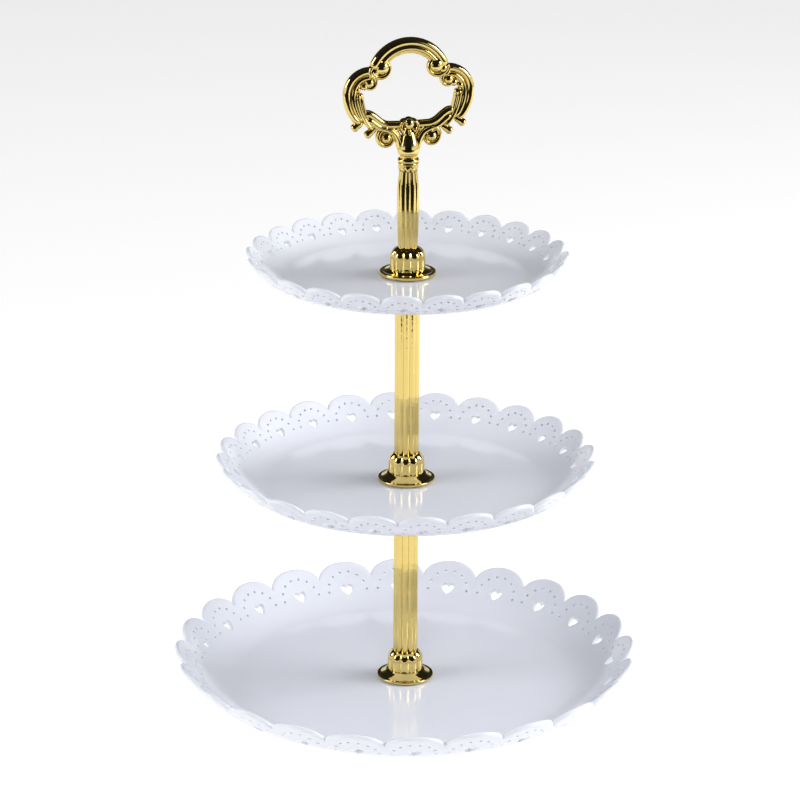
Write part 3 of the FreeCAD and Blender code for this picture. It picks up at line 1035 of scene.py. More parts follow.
@dataclass
class ReededTube:
    """A drawn tube with ten rounded reeds outside and a plain bore."""

    node: str
    body: str
    bottom: float
    top: float
    radius: float = TUBE_RADIUS
    bore: float = TUBE_BORE
    reed_depth: float = 0.9
    edge: float = 0.15

    def build(self, pattern: RoundPattern, material: bpy.types.Material) -> None:
        """Make the tube.

        Args:
            pattern: Repeats one reed.
            material: The tube's finish.
        """
        reed, edge = self.reed_depth, self.edge
        rows = [(self.bore, self.bottom, 0.0, 0.0), (self.radius - edge, self.bottom, reed, 0.0)]
        rows += [(self.radius, z, reed, 0.0) for z in np.linspace(self.bottom + edge, self.top - edge, 9)]
        rows += [(self.radius - edge, self.top, reed, 0.0), (self.bore, self.top, 0.0, 0.0)]
        wedge = wedge_of_rows(rows, REEDS, 12, closed=True)
        finish_piece(pattern.repeat(wedge, REEDS, "reeded_" + self.node, material), self.body, "gold", self.node)


@dataclass
class ReededStem:
    """The handle's reeded grip, fuller at its belly, bored for the tie rod."""

    node: str
    body: str
    base: float
    length: float = STEM_LENGTH
    bottom_radius: float = 5.35
    belly_radius: float = 6.15
    top_radius: float = 5.0
    belly_share: float = 0.62
    reed_depth: float = 0.7
    bore: float = 2.0

    def radius_at(self, share: float) -> float:
        """Radius of the grip's outline.

        Args:
            share: Height as a share of the length.

        Returns:
            The radius.
        """
        foot = ((self.belly_share - share) / self.belly_share) ** 2 if share < self.belly_share else 0.0
        head = ((share - self.belly_share) / (1 - self.belly_share)) ** 2 if share > self.belly_share else 0.0
        return (self.belly_radius - (self.belly_radius - self.bottom_radius) * foot
                - (self.belly_radius - self.top_radius) * head)

    def build(self, pattern: RoundPattern, material: bpy.types.Material) -> None:
        """Make the grip.

        Args:
            pattern: Repeats one reed.
            material: The grip's finish.
        """
        rows = [(self.bore, self.base, 0.0, 0.0)]
        rows += [(self.radius_at(share), self.base + share * self.length, self.reed_depth, 0.0)
                 for share in np.linspace(0.0, 1.0, 25)]
        rows += [(self.bore, self.base + self.length, 0.0, 0.0)]
        wedge = wedge_of_rows(rows, REEDS, 12, closed=True)
        finish_piece(pattern.repeat(wedge, REEDS, "grip_" + self.node, material), self.body, "gold", self.node)


@dataclass
class PetalCollar:
    """The small crown of leaves that hangs over the top of the grip."""

    node: str
    body: str
    base: float
    height: float = COLLAR_HEIGHT
    radius: float = 5.6
    bore: float = 2.0

    def build(self, pattern: RoundPattern, material: bpy.types.Material) -> None:
        """Make the collar.

        Args:
            pattern: Repeats one leaf.
            material: The collar's finish.
        """
        low, high, wide = self.base, self.base + self.height, self.radius
        rows = [(self.bore, low + 1.2, 0.0, 0.0), (wide - 1.0, low + 1.2, 0.0, 0.0),
                (wide - 0.75, low, 0.35, -1.5), (wide - 0.4, low + 0.25, 0.35, -1.5),
                (wide - 0.1, low + 1.0, 0.45, -1.3), (wide - 0.05, low + 2.1, 0.3, -0.6),
                (wide - 0.1, low + 3.1, 0.1, 0.0), (wide - 0.35, high - 1.0, 0.0, 0.0),
                (wide - 0.3, high - 0.75, 0.0, 0.0), (wide, high - 0.5, 0.0, 0.0),
                (wide, high - 0.15, 0.0, 0.0), (wide - 0.15, high, 0.0, 0.0), (self.bore, high, 0.0, 0.0)]
        wedge = wedge_of_rows(rows, REEDS, 10, closed=True)
        finish_piece(pattern.repeat(wedge, REEDS, "leafy_" + self.node, material), self.body, "gold", self.node)


def turned_piece(name: str, body: str, slot: str, node: str, rows: Sequence[tuple[float, float]],
                 pattern: RoundPattern, material: bpy.types.Material, bored: bool) -> None:
    """Make a plain turned piece from its section.

    Args:
        name: The object's name.
        body: The body that it rides on.
        slot: The record's material slot.
        node: The node that it stands for.
        rows: Radius and height pairs round the section.
        pattern: Repeats one sector.
        material: The finish.
        bored: The section is a closed loop clear of the axis.
    """
    wedge = wedge_of_rows([(r, z, 0.0, 0.0) for r, z in rows], 12, 6, closed=bored)
    finish_piece(pattern.repeat(wedge, 12, name, material), body, slot, node)


def soft_ring(inner: float, outer: float, bottom: float, top: float, soft: float) -> list[tuple[float, float]]:
    """Section of a flat ring with rounded edges.

    Args:
        inner: Bore radius.
        outer: Outer radius.
        bottom: Lower face.
        top: Upper face.
        soft: Radius of its edges.

    Returns:
        Radius and height pairs round the section.
    """
    rows = arc_points((inner + soft, bottom + soft), soft, 180, 270, 3)
    rows += arc_points((outer - soft, bottom + soft), soft, 270, 360, 3)
    rows += arc_points((outer - soft, top - soft), soft, 0, 90, 3)
    rows += arc_points((inner + soft, top - soft), soft, 90, 180, 3)
    return rows


@dataclass
class ThreadedRod:
    """A stud or screw shank with a rolled metric thread."""

    bottom: float
    top: float
    radius: float = THREAD_RADIUS
    pitch: float = 1.0
    chamfer: float = 0.6
    columns: int = 28

    def draft(self, start: float | None = None) -> Draft:
        """Skin the thread between two closed ends.

        Args:
            start: Height where a plain shank ends and the thread begins, if there is one.

        Returns:
            The rod.
        """
        steps = int((self.top - self.bottom) / self.pitch * 6)
        heights = np.linspace(self.bottom, self.top, steps + 1)
        angle = np.linspace(0.0, TAU, self.columns + 1)[:-1]
        grid_z, grid_a = np.meshgrid(heights, angle, indexing="ij")
        phase = np.mod(grid_z / self.pitch - grid_a / TAU, 1.0)
        tooth = np.clip(np.abs(2 * phase - 1) * 1.35 - 0.15, 0.0, 1.0)
        radius = self.radius - 0.56 * self.pitch * (1 - tooth)
        ends = np.minimum(grid_z - self.bottom, self.top - grid_z)
        radius = np.minimum(radius, self.radius - self.chamfer + ends)
        if start is not None:
            radius = np.where(grid_z < start, self.radius, radius)
        draft = Draft()
        draft.grid(np.stack([radius * np.cos(grid_a), radius * np.sin(grid_a), grid_z], axis=-1),
                   wrap_columns=True)
        for height, row in ((self.bottom, 0), (self.top, -1)):
            ring = np.stack([radius[row] * np.cos(angle), radius[row] * np.sin(angle),
                             np.full_like(angle, height)], axis=-1)
            middle = np.array([[0.0, 0.0, height]])
            draft.add(np.vstack([ring, middle]),
                      [(i, (i + 1) % self.columns, self.columns) for i in range(self.columns)])
        return draft

    def build(self, node: str, body: str, material: bpy.types.Material) -> None:
        """Make the rod as a piece of its own.

        Args:
            node: The node that it stands for.
            body: The body that it rides on.
            material: Its finish.
        """
        mesh = self.draft().mesh("threaded_" + node)
        seal(mesh, sharp_deg=25.0)
        finish_piece(show(mesh, "threaded_" + node, material), body, "steel", node)


@dataclass
class CrossHeadScrew:
    """The flat-headed screw under the largest dish, with a cross recess."""

    node: str
    body: str
    head_bottom: float = 1.0
    head_top: float = 3.2
    head_radius: float = 7.5
    top: float = 17.8
    cross_length: float = 6.0
    cross_width: float = 1.2
    cross_depth: float = 1.3

    def build(self, material: bpy.types.Material) -> None:
        """Make the screw.

        Args:
            material: Its finish.
        """
        draft = Draft()
        wide, low, high = self.head_radius, self.head_bottom, self.head_top
        rows = [(0.0, low)] + [(0.35 * wide, low), (0.62 * wide, low + 0.08), (0.82 * wide, low + 0.35)]
        rows += arc_points((wide - 0.7, low + 1.15), 0.7, -60, 0, 4) + [(wide, high - 0.15), (wide - 0.15, high)]
        rows += [(THREAD_RADIUS - 0.6, high)]
        for turn in range(12):
            part = wedge_of_rows([(r, z, 0.0, 0.0) for r, z in rows], 12, 4)
            angle = turn * TAU / 12
            spin = np.array([[math.cos(angle), math.sin(angle), 0], [-math.sin(angle), math.cos(angle), 0],
                             [0, 0, 1]])
            draft.add(np.vstack(part.points) @ spin, part.faces)
        cap = arc_points((0.0, 0.0), THREAD_RADIUS - 0.6, 0, 360, 48)[:-1]
        draft.add(np.array([(x, y, high) for x, y in cap] + [(0.0, 0.0, high)]),
                  [(i, (i + 1) % 48, 48) for i in range(48)])
        mesh = draft.mesh("cross_head_screw")
        seal(mesh, sharp_deg=35.0)
        head = show(mesh, "cross_head_screw", material)
        self._cut_recess(head)
        shank = ThreadedRod(high - 0.2, self.top).draft(high + 1.0).mesh("shank")
        seal(shank, sharp_deg=25.0)
        join_mesh(head, shank)
        finish_piece(head, self.body, "steel", self.node)

    def _cut_recess(self, head: bpy.types.Object) -> None:
        """Cut the cross recess into the head's underside.

        Args:
            head: The screw's head.
        """
        half, width = self.cross_length / 2, self.cross_width / 2
        outline = [(half, -width), (half, width), (width, width), (width, half), (-width, half), (-width, width),
                   (-half, width), (-half, -width), (-width, -width), (-width, -half), (width, -half),
                   (width, -width)]
        low, high = self.head_bottom - 1.0, self.head_bottom + self.cross_depth
        points = [(x, y, low) for x, y in outline] + [(0.8 * x, 0.8 * y, high) for x, y in outline]
        faces = [tuple(range(11, -1, -1)), tuple(range(12, 24))]
        faces += [(i, (i + 1) % 12, (i + 1) % 12 + 12, i + 12) for i in range(12)]
        draft = Draft()
        draft.add(np.array(points), faces)
        tool_mesh = draft.mesh("recess")
        tool = bpy.data.objects.new("recess", tool_mesh)
        bpy.context.scene.collection.objects.link(tool)
        cut = head.modifiers.new("recess", "BOOLEAN")
        cut.operation, cut.solver, cut.object = "DIFFERENCE", "EXACT", tool
        done = bpy.data.meshes.new_from_object(head.evaluated_get(bpy.context.evaluated_depsgraph_get()))
        head.modifiers.remove(cut)
        bpy.data.objects.remove(tool)
        head.data = done
        done.name = "cross_head_screw"


def join_mesh(target: bpy.types.Object, extra: bpy.types.Mesh) -> None:
    """Add a closed mesh to an object's own mesh.

    Args:
        target: The object.
        extra: The mesh to add.
    """
    work = bmesh.new()
    work.from_mesh(target.data)
    work.from_mesh(extra)
    work.to_mesh(target.data)
    work.free()
    bpy.data.meshes.remove(extra)


# ---------------------------------------------------------------- ring
class Moulding(Enum):
    """Cross-sections of the ring's cast bars, as outward and sideways shares of their size."""

    ROLL = "roll"
    TRIPLE = "triple"
    DOUBLE = "double"


def moulding_section(kind: Moulding) -> np.ndarray:
    """One bar's cross-section, counter-clockwise.

    Args:
        kind: Which section.

    Returns:
        Outward and sideways coordinates, each from -1 to 1.
    """
    if kind is Moulding.ROLL:
        return np.array(arc_points((0.0, 0.0), 1.0, 0, 345, 23))
    if kind is Moulding.TRIPLE:
        side = [(1.0, 0.0), (0.97, 0.36), (0.87, 0.68), (0.68, 0.92), (0.44, 1.0), (0.2, 0.93), (0.06, 0.78),
                (0.0, 0.58), (-0.06, 0.6), (-0.14, 0.78), (-0.3, 0.86), (-0.47, 0.8), (-0.58, 0.62),
                (-0.63, 0.4), (-0.69, 0.38), (-0.76, 0.5), (-0.87, 0.48), (-0.96, 0.3)]
        last = (-1.0, 0.0)
    else:
        side = [(1.0, 0.0), (0.95, 0.4), (0.8, 0.78), (0.55, 0.98), (0.28, 0.92), (0.08, 0.66), (0.0, 0.5),
                (-0.1, 0.56), (-0.3, 0.8), (-0.55, 0.84), (-0.8, 0.62), (-0.94, 0.34)]
        last = (-1.0, 0.0)
    back = [(x, -y) for x, y in side[:0:-1]]
    return np.array(side + [last] + back)


def smooth_path(points: Sequence[tuple[float, float]], steps: int) -> np.ndarray:
    """A smooth line through given points.

    Args:
        points: The points.
        steps: Divisions of the whole line.

    Returns:
        The line's points.
    """
    given = np.array(points, float)
    tangent = np.gradient(given, axis=0)
    gaps = np.linalg.norm(np.diff(given, axis=0), axis=1)
    place = np.concatenate([[0.0], np.cumsum(gaps)])
    speed = tangent / np.gradient(place)[:, None]
    line = []
    for want in np.linspace(0.0, place[-1], steps + 1):
        i = min(int(np.searchsorted(place, want, side="right")) - 1, len(given) - 2)
        span = place[i + 1] - place[i]
        t = (want - place[i]) / span
        line.append((2 * t ** 3 - 3 * t ** 2 + 1) * given[i] + (t ** 3 - 2 * t ** 2 + t) * span * speed[i]
                    + (3 * t ** 2 - 2 * t ** 3) * given[i + 1] + (t ** 3 - t ** 2) * span * speed[i + 1])
    return np.array(line)


@dataclass(frozen=True)
class Bar:
    """One cast bar of the ring: its line, its section and how it swells and tapers."""

    line: tuple[tuple[float, float], ...]
    half_width: float
    half_depth: float
    start_taper: float = 0.0
    end_taper: float = 0.0
    start_size: float = 1.0
    end_size: float = 1.0
    kind: Moulding = Moulding.ROLL
    steps: int = 40
    flip: bool = False

    def sizes(self) -> np.ndarray:
        """Size of the section along the line, rounded off at both ends.

        Returns:
            One factor for each station.
        """
        share = np.linspace(0.0, 1.0, self.steps + 1)
        size = self.start_size + (self.end_size - self.start_size) * share
        length = np.linalg.norm(np.diff(np.array(self.line), axis=0), axis=1).sum()
        for taper, along in ((self.start_taper, share), (self.end_taper, 1 - share)):
            reach = max(taper, self.half_width * 0.8) / length
            left = np.clip(1 - along / reach, 0.0, 1.0)
            size = size * np.sqrt(np.maximum(1 - left ** 2, 0.0))
        return size

    def add_to(self, draft: Draft, mirror: bool) -> None:
        """Skin the bar.

        Args:
            draft: Gets the bar.
            mirror: Make its mirror image across the middle.
        """
        line = smooth_path(self.line, self.steps)
        along = np.gradient(line, axis=0)
        along /= np.linalg.norm(along, axis=1, keepdims=True)
        outward = np.stack([along[:, 1], -along[:, 0]], axis=-1)
        section = moulding_section(self.kind)
        if self.flip:
            section = section * (-1.0, 1.0)
        size = np.maximum(self.sizes(), 0.02)[:, None]
        across = section[None, :, 0] * size * self.half_width
        deep = section[None, :, 1] * size * self.half_depth
        points = np.stack([line[:, None, 0] + outward[:, None, 0] * across, deep,
                           line[:, None, 1] + outward[:, None, 1] * across], axis=-1)
        if mirror:
            points = points * (-1.0, 1.0, 1.0)
        draft.grid(points, wrap_columns=True)
        count = points.shape[1]
        for row in (0, -1):
            ring = points[row]
            draft.add(np.vstack([ring, ring.mean(axis=0)[None]]),
                      [(i, (i + 1) % count, count) for i in range(count)])


ROUND = (1.0, 1.0, 1.0)
Ball = tuple[tuple[float, float], float, tuple[float, float, float]]


def add_ball(draft: Draft, centre: tuple[float, float], radius: float, mirror: bool,
             stretch: tuple[float, float, float] = ROUND) -> None:
    """Add a round boss.

    Args:
        draft: Gets the boss.
        centre: Its place in the ring's plane.
        radius: Its radius.
        mirror: Put it on the other side.
        stretch: How much longer it is along each axis.
    """
    rise = np.radians(np.linspace(-90, 90, 17))[:, None]
    around = np.radians(np.linspace(0, 360, 29))[None, :-1]
    points = np.stack([np.cos(rise) * np.cos(around) * stretch[0], np.cos(rise) * np.sin(around) * stretch[1],
                       np.sin(rise) * np.ones_like(around) * stretch[2]], axis=-1) * radius
    points = points + np.array([centre[0], 0.0, centre[1]])
    if mirror:
        points = points * (-1.0, 1.0, 1.0)
    draft.grid(points, wrap_columns=True)


def spiral(centre: tuple[float, float], start_radius: float, end_radius: float, start_deg: float,
           end_deg: float, count: int) -> tuple[tuple[float, float], ...]:
    """Points along a curl.

    Args:
        centre: The curl's eye.
        start_radius: Distance of its first point from the eye.
        end_radius: Distance of its last point.
        start_deg: Direction of the first point, from +X towards +Z.
        end_deg: Direction of the last point.
        count: How many points.

    Returns:
        The points.
    """
    shares = np.linspace(0.0, 1.0, count)
    return tuple((centre[0] + (start_radius + (end_radius - start_radius) * s)
                  * math.cos(math.radians(start_deg + (end_deg - start_deg) * s)),
                  centre[1] + (start_radius + (end_radius - start_radius) * s)
                  * math.sin(math.radians(start_deg + (end_deg - start_deg) * s))) for s in shares)


@dataclass
class ScrollRing:
    """The handle's cast ring: a crest, two side lobes, two S-scrolls with volutes and a turned neck."""

    node: str
    body: str
    base: float = RING_BASE
    bore: float = 2.0
    bore_length: float = 9.0
    crest_centre: tuple[float, float] = (0.0, 44.4)
    crest_radius: float = 19.35
    crest_half_width: float = 4.4
    crest_half_depth: float = 2.9
    crest_end_deg: float = 18.0
    side_balls: tuple[Ball, ...] = (
        ((14.9, 52.3), 4.2, (1.0, 0.9, 1.0)), ((21.7, 44.4), 2.9, ROUND), ((28.2, 40.9), 1.8, (1.0, 1.25, 1.0)),
        ((12.5, 14.1), 3.3, (1.0, 1.1, 1.0)), ((3.1, 18.4), 2.0, (1.0, 1.7, 1.4)), ((18.8, 50.4), 2.8, ROUND),
        ((6.8, 18.9), 2.1, ROUND), ((24.6, 42.6), 2.2, ROUND), ((26.8, 37.4), 2.0, ROUND))
    middle_balls: tuple[Ball, ...] = (((0.0, 21.4), 3.3, (1.0, 1.25, 1.15)), ((0.0, 16.2), 1.7, (1.0, 2.4, 2.4)))

    def crest(self) -> Bar:
        """The arched bar across the top.

        Returns:
            The bar.
        """
        line = spiral(self.crest_centre, self.crest_radius, self.crest_radius, self.crest_end_deg,
                      180 - self.crest_end_deg, 25)
        return Bar(line, self.crest_half_width, self.crest_half_depth, kind=Moulding.TRIPLE, steps=72,
                   start_taper=2.0, end_taper=2.0)

    def half_bars(self) -> list[Bar]:
        """The bars of the right half.

        Returns:
            The bars, their heights counted from the ring's base.
        """
        crest_curl = spiral((14.9, 52.3), 6.2, 3.2, -8, -250, 12)
        lobe = ((20.6, 51.0), (25.0, 50.3), (29.0, 48.3), (32.1, 44.9), (33.8, 40.6), (33.9, 36.0), (33.0, 31.6),
                (31.2, 27.6), (28.9, 24.4), (26.2, 22.2))
        band = ((20.8, 47.0), (24.4, 46.9), (27.6, 45.0), (29.7, 41.8), (30.5, 37.8), (30.2, 33.6), (29.0, 29.6),
                (27.2, 26.0), (25.0, 23.4))
        inner = ((27.4, 39.2), (27.8, 35.6), (27.0, 31.4), (25.8, 27.6), (23.8, 23.8), (21.4, 20.6), (19.0, 18.8))
        ridge = ((26.0, 37.8), (25.8, 34.6), (25.0, 31.2), (24.2, 27.8), (22.6, 24.2), (20.4, 21.2))
        outer_barb = ((24.8, 23.4), (27.0, 22.2), (29.2, 20.8), (31.2, 19.2))
        inner_barb = ((17.6, 19.8), (19.8, 18.4), (22.0, 16.8), (24.0, 15.2))
        curl = spiral((21.7, 44.4), 4.3, 2.6, 75, 330, 12)
        knot = ((20.2, 53.4), (21.6, 50.6), (20.6, 47.9), (18.4, 47.2))
        scroll = ((24.9, 27.4), (22.0, 27.6), (18.8, 25.6), (15.4, 22.8), (12.2, 21.3), (8.6, 21.0), (3.8, 20.9))
        sweep = ((23.6, 25.4), (20.0, 22.9), (16.0, 19.9), (11.8, 18.4), (8.2, 16.4), (6.0, 13.0), (5.0, 9.6),
                 (4.6, 7.4))
        crease = ((22.8, 27.2), (19.4, 25.0), (15.8, 21.8), (12.0, 19.8), (8.4, 18.4), (5.6, 15.4), (4.4, 12.0))
        volute = spiral((12.0, 13.9), 6.0, 2.2, 100, -235, 18)
        petal = ((0.6, 23.6), (3.6, 22.6), (4.6, 19.8), (3.0, 16.6), (0.4, 13.6))
        return [
            Bar(crest_curl, 1.5, 2.5, start_size=1.1, end_size=0.75),
            Bar(lobe, 2.4, 2.7, end_taper=4.0, end_size=0.8, steps=60),
            Bar(band, 1.75, 2.3, end_taper=4.0, start_size=0.9, steps=50),
            Bar(inner, 1.5, 2.6, start_taper=2.5, end_taper=4.0, steps=44),
            Bar(ridge, 1.35, 2.2, start_taper=2.0, end_taper=4.0, steps=40),
            Bar(outer_barb, 2.5, 2.6, start_taper=3.0, start_size=0.6),
            Bar(inner_barb, 2.5, 2.6, start_taper=3.0, start_size=0.6),
            Bar(curl, 1.5, 2.4, end_size=0.7),
            Bar(knot, 1.35, 2.6, start_taper=1.5, end_taper=1.5),
            Bar(scroll, 2.2, 2.5, steps=48),
            Bar(sweep, 2.1, 2.7, start_taper=3.0, steps=48),
            Bar(crease, 1.2, 2.2, start_taper=3.0, end_taper=3.0),
            Bar(volute, 1.55, 2.7, start_taper=2.0, end_size=0.8, steps=60),
            Bar(petal, 1.25, 3.4, start_taper=2.0, end_taper=4.0),
        ]

    def draft(self) -> Draft:
        """Put the whole ring together.

        Returns:
            The ring, its heights counted from its base.
        """
        draft = Draft()
        self.crest().add_to(draft, False)
        for mirror in (False, True):
            for bar in self.half_bars():
                bar.add_to(draft, mirror)
            for centre, radius, stretch in self.side_balls:
                add_ball(draft, centre, radius, mirror, stretch)
        for centre, radius, stretch in self.middle_balls:
            add_ball(draft, centre, radius, False, stretch)
        return draft

    def neck_rows(self) -> list[tuple[float, float]]:
        """Section of the turned neck, from the top of its bore, round the outside, to its top.

        Returns:
            Radius and height pairs.
        """
        rows = [(0.0, self.bore_length), (self.bore, self.bore_length), (self.bore, 0.0)]
        rows += arc_points((4.6, 1.45), 1.4, -90, 90, 8)
        rows += [(4.9, 3.1), (4.8, 3.6), (5.0, 4.2)]
        rows += [(5.55, 4.7), (5.95, 5.7), (6.1, 7.2), (5.95, 8.9), (5.5, 10.6), (4.95, 12.4), (4.3, 14.4),
                 (3.6, 16.4), (2.6, 18.2), (0.0, 19.2)]
        return rows

    def build(self, pattern: RoundPattern, material: bpy.types.Material) -> None:
        """Make the ring.

        Args:
            pattern: Turns the neck.
            material: The ring's finish.
        """
        draft = self.draft()
        draft.points = [points + np.array([0.0, 0.0, self.base]) for points in draft.points]
        mesh = draft.mesh("scroll_ring")
        seal(mesh)
        ring = show(mesh, "scroll_ring", material)
        rows = [(r, self.base + z, 0.0, 0.0) for r, z in self.neck_rows()]
        neck = pattern.repeat(wedge_of_rows(rows, 12, 5), 12, "ring_neck", material)
        neck_mesh = neck.data
        bpy.data.objects.remove(neck)
        join_mesh(ring, neck_mesh)
        finish_piece(ring, self.body, "gold", self.node)


# ---------------------------------------------------------------- fastenings
@dataclass
class Fastenings:
    """What holds the stand together: screw, washer, pads, inserts, caps, studs and tie rod."""

    pattern: RoundPattern
    gold: bpy.types.Material
    brass: bpy.types.Material
    steel: bpy.types.Material
    rubber: bpy.types.Material

    def gasket(self, node: str, body: str, bottom: float) -> None:
        """Make one pad between a dish and a foot or cap.

        Args:
            node: The node that it stands for.
            body: The body that it rides on.
            bottom: Its lower face.
        """
        rows = soft_ring(HUB_RADIUS, 12.5, bottom, bottom + GASKET, 0.25)
        turned_piece("pad_" + node, body, "gasket", node, rows, self.pattern, self.rubber, True)

    def insert(self, node: str, body: str, bottom: float) -> None:
        """Make one knurled threaded bush.

        Args:
            node: The node that it stands for.
            body: The body that it rides on.
            bottom: Its lower face.
        """
        top = bottom + 11.0
        rows = [(3.0, bottom + 0.5, 0.0, 0.0), (3.5, bottom, 0.0, 0.0), (4.7, bottom, 0.0, 0.0),
                (4.75, bottom + 0.6, 0.0, 0.0), (5.0, bottom + 0.9, 0.3, 0.0), (5.0, bottom + 4.6, 0.3, 0.0),
                (4.7, bottom + 4.9, 0.0, 0.0), (4.7, bottom + 6.1, 0.0, 0.0), (5.0, bottom + 6.4, 0.3, 0.0),
                (5.0, top - 0.9, 0.3, 0.0), (4.7, top - 0.6, 0.0, 0.0), (4.6, top, 0.0, 0.0),
                (3.3, top, 0.0, 0.0), (3.0, top - 0.3, 0.0, 0.0)]
        piece = self.pattern.repeat(wedge_of_rows(rows, 28, 4, closed=True), 28, "knurled_" + node, self.brass)
        finish_piece(piece, body, "insert", node)

    def cap(self, node: str, body: str, top: float) -> None:
        """Make the plug and flange in a tube's upper end.

        Args:
            node: The node that it stands for.
            body: The body that it rides on.
            top: Its upper face.
        """
        collar, plug = TUBE_RADIUS + 1.4, TUBE_BORE
        thread_end = top - CAP_THREAD_DEPTH
        rows = [(0.0, thread_end), (THREAD_RADIUS, thread_end), (THREAD_RADIUS, top - 0.3),
                (THREAD_RADIUS + 0.3, top)]
        rows += arc_points((collar + 2.7, top - 0.5), 0.5, 90, -60, 6)
        rows += [(collar + 2.6, top - 1.5), (collar + 0.8, top - 2.35), (collar + 0.1, top - 2.6)]
        rows += arc_points((collar - 0.5, top - 3.4), 0.5, 40, -40, 4)
        rows += [(collar - 0.45, top - 4.2), (collar - 0.05, top - 4.7), (collar - 0.05, top - 5.2),
                 (collar - 0.3, top - CAP_SHOULDER), (plug, top - CAP_SHOULDER), (plug, top - 13.1),
                 (plug - 0.4, top - 13.5),
                 (0.0, top - 13.5)]
        turned_piece("turned_" + node, body, "gold", node, rows, self.pattern, self.gold, False)

    def under_dish(self) -> None:
        """Make the pad, washer and screw under the largest dish."""
        bore = THREAD_RADIUS + 0.25
        turned_piece("soft_base_pad", "base", "gasket", "base_pad", soft_ring(bore, 12.0, 4.2, 5.2, 0.3),
                     self.pattern, self.rubber, True)
        turned_piece("steel_base_washer", "base", "steel", "base_washer", soft_ring(bore, 11.0, 3.2, 4.2, 0.18),
                     self.pattern, self.steel, True)
        CrossHeadScrew("base_screw", "base").build(self.steel)

    def build(self) -> None:
        """Make them all."""
        self.under_dish()
        self.gasket("bottom_plate_upper_gasket", "lower_seat", BOTTOM_FLOOR)
        self.gasket("middle_plate_upper_gasket", "upper_seat", MIDDLE_FLOOR)
        self.gasket("top_plate_upper_gasket", "handle_seat", TOP_FLOOR)
        for name, base, dish, floor, wall in COLUMNS:
            body = name + "_post"
            cap_top = floor - wall - GASKET
            self.gasket(dish + "_lower_gasket", body, cap_top)
            self.insert(name + "_foot_insert", body, base)
            self.cap(name + "_tube_cap", body, cap_top)
            ThreadedRod(cap_top - CAP_THREAD_DEPTH, floor + GASKET + STUD_REACH).build(name + "_stud", body, self.steel)
        self.insert("handle_foot_insert", "handle", HANDLE_BASE)
        ThreadedRod(STEM_BASE - 3.4, RING_BASE + 9.0, radius=2.0, pitch=0.7, chamfer=0.6, columns=20).build(
            "handle_tie_rod", "handle", self.steel)


@dataclass
class Post:
    """The gold column: two reeded tubes on their feet, and the handle above them."""

    pattern: RoundPattern
    gold: bpy.types.Material

    def build(self) -> None:
        """Make the column from the bottom up."""
        for name, base, _, floor, wall in COLUMNS:
            body = name + "_post"
            foot = ReededFoot(name + "_foot", body, base, 15.8, 1.4, 4.4, 10.1, TUBE_RADIUS + 0.1,
                              spigot_radius=TUBE_BORE, drum_height=9.9)
            foot.build(self.pattern, self.gold)
            tube_top = floor - wall - GASKET - CAP_SHOULDER
            ReededTube(name + "_tube", body, base + FOOT_HEIGHT, tube_top).build(self.pattern, self.gold)
        ReededFoot("handle_foot", "handle", HANDLE_BASE, 15.5, 2.1, 2.8, 9.8, 5.6, drum_height=9.8).build(
            self.pattern, self.gold)
        ReededStem("handle_stem", "handle", STEM_BASE).build(self.pattern, self.gold)
        PetalCollar("handle_collar", "handle", COLLAR_BASE).build(self.pattern, self.gold)
        ScrollRing("handle_ring", "handle").build(self.pattern, self.gold)


# ---------------------------------------------------------------- studio
@dataclass(frozen=True)
class SoftBox:
    """One soft lamp of the studio, placed in metres."""

    name: str
    place: tuple[float, float, float]
    target: tuple[float, float, float]
    size: tuple[float, float]
    watts: float
    mirrored: bool = True

    def build(self) -> None:
        """Hang the lamp and turn it to its target."""
        lamp = bpy.data.lights.new(self.name, "AREA")
        lamp.shape = "RECTANGLE"
        lamp.size, lamp.size_y = self.size
        lamp.energy = self.watts
        held = bpy.data.objects.new(self.name, lamp)
        held.location = self.place
        held.visible_glossy = self.mirrored
        held.visible_camera = False
        held.rotation_euler = (Vector(self.target) - Vector(self.place)).to_track_quat("-Z", "Y").to_euler()
        bpy.context.scene.collection.objects.link(held)


